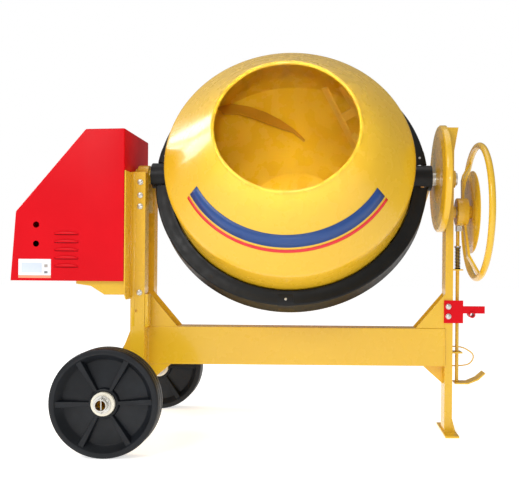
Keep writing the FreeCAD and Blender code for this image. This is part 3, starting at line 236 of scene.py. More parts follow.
# Moulded polyolefin: satin black, a fine spark-eroded grain from the mould, and grey rubbed
# patches where hands and sacks pass.
def mouldedPolymer(name, slot, body, rubbed, roughness, grain, specular=0.5):
    material, tree, shader, place = startMaterial(name, slot, roughness)
    handling = add(tree, "ShaderNodeTexNoise", {"Scale": perMm(110), "Detail": 6.0, "Roughness": 0.6},
                   {"Vector": place})
    worn = add(tree, "ShaderNodeMapRange", {"From Min": 0.42, "From Max": 0.72},
               {"Value": handling.outputs["Fac"]})
    colour = add(tree, "ShaderNodeMix", {"data_type": "RGBA", 6: linear(body), 7: linear(rubbed)},
                 {0: worn.outputs["Result"]})
    tree.links.new(colour.outputs[2], shader.inputs["Base Color"])
    shader.inputs["Specular IOR Level"].default_value = specular
    patch = add(tree, "ShaderNodeTexNoise", {"Scale": perMm(35), "Detail": 3.0}, {"Vector": place})
    sheen = add(tree, "ShaderNodeMapRange", {
        "From Min": 0.3, "From Max": 0.7, "To Min": roughness - 0.06, "To Max": roughness + 0.10},
        {"Value": patch.outputs["Fac"]})
    tree.links.new(sheen.outputs["Result"], shader.inputs["Roughness"])
    pits = add(tree, "ShaderNodeTexNoise", {"Scale": perMm(grain), "Detail": 2.0}, {"Vector": place})
    skin = add(tree, "ShaderNodeBump", {"Strength": 0.35, "Distance": 0.00015},
               {"Height": pits.outputs["Fac"]})
    tree.links.new(skin.outputs["Normal"], shader.inputs["Normal"])
    return material


# Zinc plate on turned or drawn steel: bright, with a cloudy blue-white passivation and fine
# drawing lines.
def platedSteel(name, slot, tone, cloud, roughness):
    material, tree, shader, place = startMaterial(name, slot, roughness, 1.0)
    bloom = add(tree, "ShaderNodeTexNoise", {"Scale": perMm(9), "Detail": 4.0}, {"Vector": place})
    colour = add(tree, "ShaderNodeMix", {"data_type": "RGBA", 6: linear(tone), 7: linear(cloud)},
                 {0: bloom.outputs["Fac"]})
    tree.links.new(colour.outputs[2], shader.inputs["Base Color"])
    streak = add(tree, "ShaderNodeTexNoise", {"Scale": perMm(3), "Detail": 3.0}, {"Vector": place})
    polish = add(tree, "ShaderNodeMapRange", {
        "From Min": 0.3, "From Max": 0.7, "To Min": roughness - 0.08, "To Max": roughness + 0.12},
        {"Value": streak.outputs["Fac"]})
    tree.links.new(polish.outputs["Result"], shader.inputs["Roughness"])
    lines = add(tree, "ShaderNodeBump", {"Strength": 0.2, "Distance": 0.00003},
                {"Height": streak.outputs["Fac"]})
    tree.links.new(lines.outputs["Normal"], shader.inputs["Normal"])
    return material


# Sand-cast iron with grease on it: a dark pitted skin under glossy brown smears.
def greasedCasting(name, slot):
    material, tree, shader, place = startMaterial(name, slot, 0.5, 0.75)
    smear = add(tree, "ShaderNodeTexNoise", {"Scale": perMm(40), "Detail": 4.0}, {"Vector": place})
    grease = add(tree, "ShaderNodeMapRange", {"From Min": 0.42, "From Max": 0.6},
                 {"Value": smear.outputs["Fac"]})
    colour = add(tree, "ShaderNodeMix", {"data_type": "RGBA", 6: linear("#5A5B5D"),
                                         7: linear("#201C18")}, {0: grease.outputs["Result"]})
    tree.links.new(colour.outputs[2], shader.inputs["Base Color"])
    wet = add(tree, "ShaderNodeMapRange", {"To Min": 0.6, "To Max": 0.27},
              {"Value": grease.outputs["Result"]})
    tree.links.new(wet.outputs["Result"], shader.inputs["Roughness"])
    sand = add(tree, "ShaderNodeTexNoise", {"Scale": perMm(2.5), "Detail": 3.0}, {"Vector": place})
    skin = add(tree, "ShaderNodeBump", {"Strength": 0.5, "Distance": 0.0003},
               {"Height": sand.outputs["Fac"]})
    tree.links.new(skin.outputs["Normal"], shader.inputs["Normal"])
    return material


# Cast vinyl film with solid printed ink: even colour under a satin face that follows the paint.
def printedVinyl(name, ink, faded, roughness=0.33):
    material, tree, shader, place = startMaterial(name, "", roughness)
    mottle = add(tree, "ShaderNodeTexNoise", {"Scale": perMm(25), "Detail": 3.0}, {"Vector": place})
    colour = add(tree, "ShaderNodeMix", {"data_type": "RGBA", 6: linear(ink), 7: linear(faded)},
                 {0: mottle.outputs["Fac"]})
    tree.links.new(colour.outputs[2], shader.inputs["Base Color"])
    ripple = add(tree, "ShaderNodeBump", {"Strength": 0.15, "Distance": 0.0001},
                 {"Height": mottle.outputs["Fac"]})
    tree.links.new(ripple.outputs["Normal"], shader.inputs["Normal"])
    return material


yellow = sprayedEnamel("yellowMachineEnamel", "yellow_paint", "#EABB28", "#E8B826", 0.27, 0.35)
# The fork blades are painted a paler, brighter yellow than the drum: a painted highlight that stands in
# for the light on their faces.
forkYellow = sprayedEnamel("forkEnamelPaintedLight", "yellow_paint", "#FAD254", "#F5C843", 0.34, 0.2)
# The curved fin is painted a darker, browner yellow: painted shade that stands in for the shadow inside
# the drum.
finYellow = sprayedEnamel("finEnamelPaintedShade", "yellow_paint", "#CB9424", "#BE8819", 0.34, 0.2)
red = sprayedEnamel("redMachineEnamel", "red_paint", "#DC0417", "#D60315", 0.38, 0.0, 0.14)
grey = sprayedEnamel("greyMotorEnamel", "grey_paint", "#5C6A75", "#53606B", 0.4, 0.2)
guardBlack = mouldedPolymer("mouldedPolyethylene", "black_plastic", "#090A0B", "#131415", 0.4, 3, 0.28)
wheelBlack = mouldedPolymer("mouldedPolypropylene", "wheel_plastic", "#0D1015", "#191D23", 0.42, 4, 0.3)
nylon = mouldedPolymer("castNylon", "white_nylon", "#EFEADB", "#DAD2B8", 0.38, 5)
beltRubber = mouldedPolymer("wrappedBeltRubber", "belt_rubber", "#1A1A1A", "#2A2928", 0.7, 3)
zinc = platedSteel("zincPlatedSteel", "bright_steel", "#B4B3AE", "#E6E4DE", 0.32)
springSteel = platedSteel("oilTemperedSpringSteel", "black_steel", "#19191B", "#2B2B2E", 0.36)
iron = greasedCasting("greasedCastIron", "cast_iron")
finishes = {m["slot"]: m for m in (
    yellow, red, grey, guardBlack, wheelBlack, nylon, beltRubber, zinc, springSteel, iron)}


def paintNodes():
    print("finishes")
    for part in frame["record"]["subparts"]:
        mesh = nodes[part["node"]].data
        mesh.materials.clear()
        mesh.materials.append(finishes[part["material_slot"]])


def finish(name, shape, material, replaced=(), body=None, smooth=32):
    bmesh.ops.transform(shape, matrix=Matrix.Scale(1 / mmPerMetre, 4), verts=shape.verts)
    mesh = bpy.data.meshes.new(name)
    shape.to_mesh(mesh)
    shape.free()
    mesh.materials.append(material)
    mesh.shade_smooth()
    mesh.set_sharp_from_angle(angle=math.radians(smooth))
    piece = bpy.data.objects.new(name, mesh)
    bpy.context.scene.collection.objects.link(piece)
    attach(piece, body or nodes[replaced[0]]["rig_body"])
    if replaced:
        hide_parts(*replaced)
    return piece


def rounded(shape, width, segments=2, angle=32, among=None):
    # bevels the edges that turn by more than the angle
    sharp = [e for e in (among or shape.edges) if len(e.link_faces) == 2
             and e.calc_face_angle(0) > math.radians(angle)]
    bmesh.ops.bevel(shape, geom=sharp, offset=width, segments=segments, profile=0.5,
                    affect="EDGES", clamp_overlap=True, material=-1)
    return shape


def tidy(shape):
    bmesh.ops.remove_doubles(shape, verts=shape.verts, dist=0.01)
    bmesh.ops.recalc_face_normals(shape, faces=shape.faces)
    return shape


def copyOf(name):
    # a CAD node's own surface, welded and with its flat faces made whole
    shape = bmesh.new()
    shape.from_mesh(nodes[name].data)
    bmesh.ops.transform(shape, matrix=Matrix.Scale(mmPerMetre, 4), verts=shape.verts)
    bmesh.ops.remove_doubles(shape, verts=shape.verts, dist=0.02)
    bmesh.ops.dissolve_limit(shape, angle_limit=math.radians(0.5), verts=shape.verts,
                             edges=shape.edges)
    return shape


def softened(name, width=1.5, segments=2, angle=40, material=None):
    # a CAD node with the rounded edges of rolled, folded or cut metal
    slot = nodes[name].data.materials[0]["slot"]
    piece = finish(name + "Skin", copyOf(name), material or finishes[slot], (name,))
    modifier = piece.modifiers.new("edges", "BEVEL")
    modifier.width = width / mmPerMetre
    modifier.segments = segments
    modifier.limit_method = "ANGLE"
    modifier.angle_limit = math.radians(angle)
    modifier.harden_normals = True
    return piece


def solidsOf(name):
    # the low and high corners of each separate solid in a node
    shape = copyOf(name)
    waiting = set(shape.verts)
    found = []
    while waiting:
        group = [waiting.pop()]
        for vert in group:
            for edge in vert.link_edges:
                other = edge.other_vert(vert)
                if other in waiting:
                    waiting.remove(other)
                    group.append(other)
        low = Vector(min(v.co[i] for v in group) for i in range(3))
        high = Vector(max(v.co[i] for v in group) for i in range(3))
        found.append((low, high))
    shape.free()
    return sorted(found, key=lambda corners: tuple(round(c) for c in corners[0]))


def merged(shape, other):
    mesh = bpy.data.meshes.new("part")
    other.to_mesh(mesh)
    other.free()
    shape.from_mesh(mesh)
    bpy.data.meshes.remove(mesh)
    return shape


def placed(shape, matrix):
    bmesh.ops.transform(shape, matrix=matrix, verts=shape.verts)
    return shape


def along(axis, centre):
    # from a local Z to the named axis, at a point
    turns = {"X": Matrix.Rotation(math.radians(90), 4, "Y"),
             "Y": Matrix.Rotation(math.radians(-90), 4, "X"), "Z": Matrix.Identity(4)}
    return Matrix.Translation(centre) @ turns[axis]


def eased(points, radius, segments=3):
    # rounds the corners of a closed outline
    flat = bmesh.new()
    flat.faces.new([flat.verts.new((x, y, 0)) for x, y in points])
    bmesh.ops.bevel(flat, geom=flat.verts[:], offset=radius, segments=segments, profile=0.5,
                    affect="VERTICES", clamp_overlap=True, material=-1)
    flat.faces.ensure_lookup_table()
    corners = [(v.co.x, v.co.y) for v in flat.faces[0].verts]
    flat.free()
    return corners


def spun(profile, steps=96, angle=360, closed=True):
    # turns an outline of (radius, height) points about Z
    shape = bmesh.new()
    verts = [shape.verts.new((r, 0, z)) for r, z in profile]
    pairs = zip(verts, verts[1:] + verts[:1] if closed else verts[1:])
    edges = [shape.edges.new(pair) for pair in pairs]
    whole = angle >= 360
    bmesh.ops.spin(shape, geom=verts + edges, cent=(0, 0, 0), axis=(0, 0, 1),
                   angle=math.radians(angle), steps=steps, use_merge=whole)
    if closed and not whole:
        ends = [e for e in shape.edges if e.is_boundary]
        bmesh.ops.holes_fill(shape, edges=ends, sides=0)
    return tidy(shape)


def bar(radius, length, ease=1.0, steps=40):
    # a round bar on Z 0 with eased ends; a short one is a disc
    profile = [(0.0, 0), (radius - ease, 0), (radius, ease), (radius, length - ease),
               (radius - ease, length), (0.0, length)]
    shape = spun(profile, steps, closed=False)
    return shape


def block(low, high, width=1.0):
    shape = bmesh.new()
    size = Vector(high) - Vector(low)
    middle = (Vector(high) + Vector(low)) / 2
    bmesh.ops.create_cube(shape, size=1, matrix=Matrix.Translation(middle)
                          @ Matrix.Diagonal((*size, 1)))
    return rounded(shape, width)


def prism(points, low, high):
    # an outline of (x, z) points pulled along Y
    shape = bmesh.new()
    face = shape.faces.new([shape.verts.new((x, low, z)) for x, z in points])
    grown = bmesh.ops.extrude_face_region(shape, geom=[face])
    moved = [v for v in grown["geom"] if isinstance(v, bmesh.types.BMVert)]
    bmesh.ops.translate(shape, verts=moved, vec=(0, high - low, 0))
    bmesh.ops.recalc_face_normals(shape, faces=shape.faces)
    return shape


def wire(points, radius, sides=10, closed=False, order=3):
    # a round bar along a smooth line
    curve = bpy.data.curves.new("wire", "CURVE")
    curve.dimensions = "3D"
    curve.bevel_depth = radius
    curve.bevel_resolution = sides // 4
    curve.use_fill_caps = not closed
    spline = curve.splines.new("NURBS")
    spline.points.add(len(points) - 1)
    for point, spot in zip(spline.points, points):
        point.co = (*spot, 1)
    spline.use_cyclic_u = closed
    spline.order_u = order
    spline.use_endpoint_u = not closed
    spline.resolution_u = 6
    holder = bpy.data.objects.new("wire", curve)
    mesh = bpy.data.meshes.new_from_object(holder)
    shape = bmesh.new()
    shape.from_mesh(mesh)
    bpy.data.objects.remove(holder)
    bpy.data.curves.remove(curve)
    bpy.data.meshes.remove(mesh)
    return tidy(shape)


def carved(shape, cutter):
    # cuts one closed shape out of another
    things = []
    for part in (shape, cutter):
        mesh = bpy.data.meshes.new("carving")
        part.to_mesh(mesh)
        part.free()
        thing = bpy.data.objects.new("carving", mesh)
        bpy.context.scene.collection.objects.link(thing)
        things.append(thing)
    boolean = things[0].modifiers.new("cut", "BOOLEAN")
    boolean.object = things[1]
    boolean.solver = "EXACT"
    graph = bpy.context.evaluated_depsgraph_get()
    mesh = bpy.data.meshes.new_from_object(things[0].evaluated_get(graph))
    left = bmesh.new()
    left.from_mesh(mesh)
    bpy.data.meshes.remove(mesh)
    for thing in things:
        used = thing.data
        bpy.data.objects.remove(thing)
        bpy.data.meshes.remove(used)
    return left


def weld(start, end, radius=3.0):
    # a bead of overlapping puddles between two points
    start, end = Vector(start), Vector(end)
    run = end - start
    steps = max(6, int(run.length / 3))
    shape = bmesh.new()
    ring = bmesh.ops.create_circle(shape, cap_ends=True, segments=8, radius=radius * 0.5)["verts"]
    face = shape.faces[:][0]
    for i in range(1, steps + 1):
        grown = bmesh.ops.extrude_face_region(shape, geom=[face])["geom"]
        if i > 1:
            bmesh.ops.delete(shape, geom=[face], context="FACES")
        ring = [v for v in grown if isinstance(v, bmesh.types.BMVert)]
        face = [f for f in grown if isinstance(f, bmesh.types.BMFace)][0]
        swell = 0.5 if i == steps else 0.92 + 0.16 * (i % 2)
        for vert in ring:
            flat = Vector((vert.co.x, vert.co.y, 0)).normalized() * radius * swell
            vert.co = (flat.x, flat.y, run.length * i / steps)
    turn = run.to_track_quat("Z", "Y").to_matrix().to_4x4()
    return placed(tidy(shape), Matrix.Translation(start) @ turn)


def hexBolt(across=17, height=7, washer=11, thread=0):
    # a hexagon head on its washer, standing on Z 0
    shape = spun(eased([(0.5, 0), (washer, 0), (washer, 1.6), (0.5, 1.6)], 0.5), 28)
    head = bmesh.new()
    corner = across / math.sqrt(3)
    bmesh.ops.create_cone(head, cap_ends=True, segments=6, radius1=corner, radius2=corner,
                          depth=height)
    bmesh.ops.translate(head, verts=head.verts, vec=(0, 0, 1.6 + height / 2))
    merged(shape, rounded(head, 1.1))
    if thread:
        end = bar(4.8, thread, 1.0, 20)
        merged(shape, placed(end, Matrix.Translation((0, 0, 1.6 + height))))
    return shape


drum = {"steps": 160, "pressRadius": 14, "wall": 3, "bead": 7, "mouth": 390, "rim": 255,
        "coneStart": 168, "radius": 469, "bowlStart": -64, "bowlEnd": -400, "bowlEndRadius": 235,
        "flange": 516, "flangeThickness": 6, "baseBolts": 8, "baseBoltRadius": 200}
decal = {"band": ("#17407F", "#1C4788", 247, 281), "stripe": ("#DF1F2A", "#E22C36", 233, 241),
         "halfAngle": 60, "film": 0.4, "lift": 1.6}


def makeDrum():
    print("drum")
    d = drum
    press = d["pressRadius"]
    # The cylinder turns into the cone over a pressed radius, outside and inside.
    outer = [(d["radius"], 0), (d["radius"], d["coneStart"] - press),
             (d["radius"] - press * 0.09, d["coneStart"] - press * 0.3),
             (d["radius"] - press * 0.36, d["coneStart"] + press * 0.36),
             (d["radius"] - press, d["coneStart"] + press),
             (d["rim"] + d["wall"] / 2, d["mouth"])]
    inner = [(r - d["wall"], z - d["wall"] * 0.4) for r, z in reversed(outer)]
    inner[0] = (d["rim"] - d["wall"] / 2, d["mouth"])
    inner[-1] = (d["radius"] - d["wall"], 0)
    shape = spun(outer + inner, d["steps"])
    bead = [(d["rim"] + d["bead"] * math.cos(math.tau * i / 22),
             d["mouth"] + d["bead"] * math.sin(math.tau * i / 22)) for i in range(22)]
    merged(shape, spun(bead, d["steps"]))
    # The rolled sheet meets at a ground-down weld at the back of the cone.
    low, high = (d["radius"] - press, 0, d["coneStart"] + press), (d["rim"] + 2, 0, d["mouth"] - 8)
    seam = weld(low, high, 2.0)
    merged(shape, placed(seam, Matrix.Rotation(math.radians(80), 4, "Z")))
    finish("drumCone", placed(shape, drumFrame), yellow, ("drum_cone",), smooth=25)


def makeBowl():
    d = drum
    wall = d["wall"]
    slope = (d["radius"] - d["bowlEndRadius"]) / (d["bowlStart"] - d["bowlEnd"])
    back = d["bowlStart"] - d["flangeThickness"]
    shape = spun([(d["radius"] - wall, 0), (d["radius"], 0), (d["radius"], d["bowlStart"]),
                  (d["flange"], d["bowlStart"]), (d["flange"], back),
                  (d["radius"] - slope * d["flangeThickness"], back),
                  (d["bowlEndRadius"], d["bowlEnd"]), (d["bowlEndRadius"] - wall, d["bowlEnd"]),
                  (d["radius"] - wall, d["bowlStart"])], d["steps"])
    finish("drumBowl", placed(shape, drumFrame), yellow, ("drum_bowl",), smooth=30)
    low = d["bowlEnd"] - 6
    base = spun(eased([(0.5, d["bowlEnd"]), (d["bowlEndRadius"], d["bowlEnd"]),
                       (d["bowlEndRadius"], low), (60, low), (60, low - 12), (0.5, low - 12)], 2), 96)
    for i in range(d["baseBolts"]):
        turn = Matrix.Rotation(math.tau * (i + 0.5) / d["baseBolts"], 4, "Z")
        down = Matrix.Translation((d["baseBoltRadius"], 0, low)) @ Matrix.Rotation(math.pi, 4, "X")
        merged(base, placed(hexBolt(), turn @ down))
    finish("drumBasePlate", placed(base, drumFrame), yellow, ("drum_base",))
    ring = [(d["bowlEndRadius"] + 3 * math.cos(t * math.pi / 4),
             d["bowlEnd"] + 3 * math.sin(t * math.pi / 4)) for t in range(8)]
    finish("drumBaseWeld", placed(spun(ring, 120), drumFrame), yellow, body="drum", smooth=80)
    # the blades take the paler enamel with its painted highlight
    softened("fork_blades", 2, material=forkYellow)
    # the fin takes the darker enamel with its painted shade
    softened("curved_fin", 1, material=finYellow)
    softened("drum_spindle", 1)


def makeDecal():
    # two plain arcs of film on the lower front of the cone
    d = drum
    slope = (d["radius"] - d["rim"]) / (d["mouth"] - d["coneStart"])
    start = Matrix.Rotation(math.radians(-90 - decal["halfAngle"]), 4, "Z")
    for name in ("band", "stripe"):
        ink, faded, low, high = decal[name]
        points = [(d["radius"] - slope * (a - d["coneStart"]) + decal["lift"], a)
                  for a in (low, high)]
        shape = spun(points, 80, 2 * decal["halfAngle"], closed=False)
        film = printedVinyl(name + "Vinyl", ink, faded)
        piece = finish(name + "Film", placed(shape, drumFrame @ start), film, body="drum")
        shell = piece.modifiers.new("film", "SOLIDIFY")
        shell.thickness = decal["film"] / mmPerMetre
        shell.offset = 0


guard = {"outer": 532.4, "inner": 474, "front": 26, "back": -63, "wall": 3, "lip": 9, "round": 6,
         "lapAt": (-91, 9, 89, 171), "lapHalf": 3.2, "windowHalf": 5.6, "steps": 150}


def makeGuard():
    print("guard")
    g = guard
    skin = g["outer"] - 1.3
    wall, front, inner = g["wall"], g["front"], g["inner"]
    hollow = [(skin - wall, g["back"]), (skin - wall, front - wall - 2), (skin - wall - 2, front - wall),
              (inner + wall, front - wall), (inner + wall, front - g["lip"]), (inner, front - g["lip"])]
    face = [(inner, front - 2), (inner + 2, front), (inner + 12, front), (inner + 15, front - 1.6),
            (inner + 40, front - 1.6), (skin - g["round"] - 3, front - 1.6)]
    for i in range(5):
        turn = math.radians(90 - 90 * i / 4)
        face.append((skin - g["round"] + g["round"] * math.cos(turn),
                     front - 1.6 - g["round"] + g["round"] * math.sin(turn)))
    face += [(skin, g["back"] + 12), (skin + 1.3, g["back"] + 9), (skin + 1.3, g["back"])]
    profile = hollow + face
    span = 180 - 2 * g["windowHalf"]
    shape = bmesh.new()
    for side in (0, 180):
        half = spun(profile, g["steps"], span)
        merged(shape, placed(half, Matrix.Rotation(math.radians(side + g["windowHalf"]), 4, "Z")))
        # only the outer band runs on under each boss
        band = spun([(skin - wall, g["back"]), (skin - wall, front - 8), (skin, front - 8),
                     (skin, g["back"])], 12, 2 * g["windowHalf"])
        merged(shape, placed(band, Matrix.Rotation(math.radians(side - g["windowHalf"]), 4, "Z")))
    # Each lap joint is a strap over the seam with a screw through it.
    strap = [(inner + 16, front - 2), (inner + 16, front), (skin - 5, front), (skin - 1, front - 2),
             (skin + 1.3, front - 7), (skin + 1.3, g["back"] + 10), (skin - 1, g["back"] + 10),
             (skin - 1, front - 7), (skin - 5, front - 2)]
    for angle in g["lapAt"]:
        lap = spun(strap, 8, 2 * g["lapHalf"])
        merged(shape, placed(lap, Matrix.Rotation(math.radians(angle - g["lapHalf"]), 4, "Z")))
    finish("gearGuard", placed(shape, drumFrame), guardBlack, ("gear_guard",), smooth=40)
    screws = bmesh.new()
    for angle in g["lapAt"]:
        turn = Matrix.Rotation(math.radians(angle), 4, "Z")
        spot = Matrix.Translation(((inner + skin) / 2 + 6, 0, front))
        merged(screws, placed(bar(5, 1.8, 1.2, 18), turn @ spot))
    finish("guardScrews", placed(screws, drumFrame), zinc, body="yoke")
    softened("guard_bosses", 4, 3)


def makeYoke():
    print("yoke")
    softened("yoke_left_arm", 2)
    softened("yoke_right_arm", 2)
    softened("yoke_cross_bar", 2)
    softened("spindle_bearing", 1.5)
    softened("left_trunnion", 1)
    softened("right_trunnion", 1)
    low, high = box("tilt_dish")
    centre = Vector((0, turnPoint("drum_tilt").y, turnPoint("drum_tilt").z))
    hub, radius, x = 25, (high.z - low.z) / 2, low.x
    dish = [(hub, x), (45, x), (52, x + 0.8), (radius - 60, x + 6.2), (radius - 52, x + 4.6),
            (radius - 40, x + 4.8), (radius - 32, x + 7.4), (radius - 14, x + 9), (radius - 4, x + 10.5),
            (radius, x + 15), (radius, high.x), (radius - 5, high.x), (radius - 5, x + 15),
            (radius - 14, x + 14), (45, x + 5), (hub, x + 5)]
    finish("tiltDish", placed(spun(dish, 120), along("X", centre)), yellow, ("tilt_dish",), smooth=50)
    # The arms are welded to the cross bar.
    shape = bmesh.new()
    low, high = box("yoke_cross_bar")
    depth = joints["drum_spin"]["axis"]
    middle = turnPoint("drum_spin") - Vector(depth) * 462
    for side in (-1, 1):
        edge = middle + Vector((side * (high.x - low.x) / 2, 0, 0))
        for off in (-6, 6):
            spot = edge - Vector(depth) * off
            across = Vector((0, drumUp.y, drumUp.z)) * 38
            merged(shape, weld(spot - across, spot + across, 3.4))
    finish("yokeWelds", shape, yellow, body="yoke", smooth=80)


wheel = {"rim": 165, "slope": 18, "face": 33, "web": 6, "webHub": 15, "hub": 50, "hubFace": 31,
         "ribs": 6, "ribTurn": 2, "ribBase": (15, 9), "ribTop": (10, 5), "ribRise": (31, 28), "steps": 120,
         "bevel": 9, "groove": 2.5}


def makeWheel(name):
    w = wheel
    low, high = box(name)
    radius, half = (high.z - low.z) / 2, (high.y - low.y) / 2
    centre = (low + high) / 2
    bore = 40
    # one side's outline from the bore out to the tread, then its mirror image
    outline = [(bore, w["face"] - 5), (w["hub"] - 6, w["hubFace"]), (w["hub"] - 1, w["hubFace"] - 3),
               (w["hub"] + 3, w["webHub"] + 1), (w["hub"] + 7, w["webHub"]),
               (w["rim"] - w["slope"] - 3, w["web"]), (w["rim"] - w["slope"], w["web"] + 2),
               (w["rim"] - 2, half - 3), (w["rim"], half - 0.6), (w["rim"] + 2, half),
               (radius - w["bevel"], half), (radius - 3, half - 2.5),
               (radius - 0.7, half - 6), (radius, half - w["bevel"]), (radius, 15),
               (radius - w["groove"], 13), (radius - w["groove"], 11), (radius, 9)]
    mirrored = [(r, -z) for r, z in reversed(outline)]
    shape = spun(outline + mirrored, w["steps"])
    for i in range(w["ribs"]):
        for face in (-1, 1):
            rib = bmesh.new()
            rings = []
            for r, base, top, rise in zip((w["rim"] + 1, w["hub"] - 3), w["ribBase"], w["ribTop"],
                                          w["ribRise"]):
                corners = [(-base, 5), (-top, rise - 1), (-top + 1.5, rise), (top - 1.5, rise),
                           (top, rise - 1), (base, 5)]
                verts = [rib.verts.new((r, y, z * face)) for y, z in corners]
                rings.append(rib.faces.new(verts))
            edges = [e for ring in rings for e in ring.edges]
            bmesh.ops.bridge_loops(rib, edges=edges)
            turn = math.radians(-360 / w["ribs"] * i - w["ribTurn"])
            merged(shape, placed(tidy(rib), Matrix.Rotation(turn, 4, "Z")))
    finish(name + "Moulding", placed(shape, along("Y", centre)), wheelBlack, (name,), smooth=28)
    bush = name.replace("wheel", "hub_bush")
    low, high = box(bush)
    length = high.y - low.y
    ring = spun(eased([(21.1, -length / 2), (34, -length / 2), (bore, -length / 2 + 3),
                       (bore, length / 2 - 3), (34, length / 2), (21.1, length / 2)], 1.2), 72)
    finish(name + "Bush", placed(ring, along("Y", (low + high) / 2)), nylon, (bush,))


def makeAxle():
    print("axle")
    softened("axle_plates", 2)
    softened("axle_tube", 1)
    softened("wheel_retainers", 0.8)
    # The painted tube ends in bright machined journals.
    low, high = box("axle_tube")
    middle = (low + high) / 2
    shape = bmesh.new()
    for y in (low.y - 0.4, high.y - 24):
        sleeve = spun(eased([(17.3, 0), (21.4, 0), (21.4, 24.4), (17.3, 24.4)], 0.8), 48)
        merged(shape, placed(sleeve, along("Y", (middle.x, y, middle.z))))
    finish("axleJournals", shape, zinc, body="frame")


def makeFrame():
    print("frame")
    for name in ("main_beam", "left_front_post", "left_rear_post"):
        softened(name, 4, 3)
    softened("right_column", 2.5, 3)
    for name in ("left_gussets", "right_gussets", "foot_plate", "drive_plate", "motor_shelf",
                 "bearing_saddle", "rod_guides"):
        softened(name, 1.4)
    for name in ("left_bearing_block", "right_bearing", "handwheel_bearing"):
        softened(name, 2.5, 3)
    softened("cable_hook", 0.3, 1)
    low, high = box("left_front_post")
    beamHigh = box("main_beam")[1]
    # the folded sheet laps over itself down the front of the post
    lap = block((low.x + 3, low.y - 1.2, beamHigh.z + 4), (low.x + 16, low.y + 1, high.z - 4), 1.0)
    finish("postLap", lap, yellow, body="frame")
    flange = block((high.x, low.y + 1, beamHigh.z + 2), (high.x + 13, low.y + 48, beamHigh.z + 128), 3)
    finish("gussetFlange", flange, yellow, body="frame")


def makeWelds():
    print("welds")
    beamLow, beamHigh = box("main_beam")
    postHigh = box("left_front_post")[1]
    columnLow, columnHigh = box("right_column")
    shape = bmesh.new()
    front, back = beamLow.y, beamHigh.y
    for y in (front, back):
        merged(shape, weld((columnLow.x - 1, y, beamLow.z), (columnLow.x - 1, y, beamHigh.z), 3))
        merged(shape, weld((postHigh.x + 1, y, beamLow.z), (postHigh.x + 1, y, beamHigh.z), 3))
    footLow = box("foot_plate")[0]
    for y in (columnLow.y, columnHigh.y):
        merged(shape, weld((columnLow.x + 2, y, footLow.z + 8), (columnLow.x + 28, y, footLow.z + 8), 3))
    finish("frameWelds", shape, yellow, body="frame", smooth=80)


def makeBolts():
    print("bolts")
    shape = bmesh.new()
    for low, high in solidsOf("frame_bolts"):
        middle = (low + high) / 2
        faces = -1 if middle.y < 0 else 1
        # the widest end of each solid is its head
        seat = low.y + 6 if faces < 0 else high.y - 6
        turn = along("Y", (middle.x, seat, middle.z))
        flip = Matrix.Rotation(math.pi, 4, "X") if faces < 0 else Matrix.Identity(4)
        merged(shape, placed(hexBolt(17, 6.5, 11), turn @ flip))
        inner = (high.y if faces < 0 else low.y, seat)
        shank = bar(5, abs(inner[0] - inner[1]), 0.6, 20)
        merged(shape, placed(shank, along("Y", (middle.x, min(inner), middle.z))))
    finish("frameBolts", shape, zinc, ("frame_bolts",))
    postLow, postHigh = box("left_front_post")
    lower = placed(hexBolt(17, 6.5, 11), along("Y", (postLow.x + 34, postLow.y, 541))
                   @ Matrix.Rotation(math.pi, 4, "X"))
    finish("postBolt", lower, zinc, body="frame")


housing = {"wall": 2, "fold": 5, "slope": 18, "ridge": 146, "shoulder": 842, "crown": 4,
           "endWall": 998, "holeRadius": 11.5, "holeX": -803, "holes": (723, 793.5),
           "ventLow": 640, "ventPitch": 30, "vents": 5, "ventLeft": -735, "ventRight": -646,
           "ventHeight": 8, "shaftHole": 24}
label = {"left": -867, "right": -747, "low": 596, "high": 666, "film": 0.5}


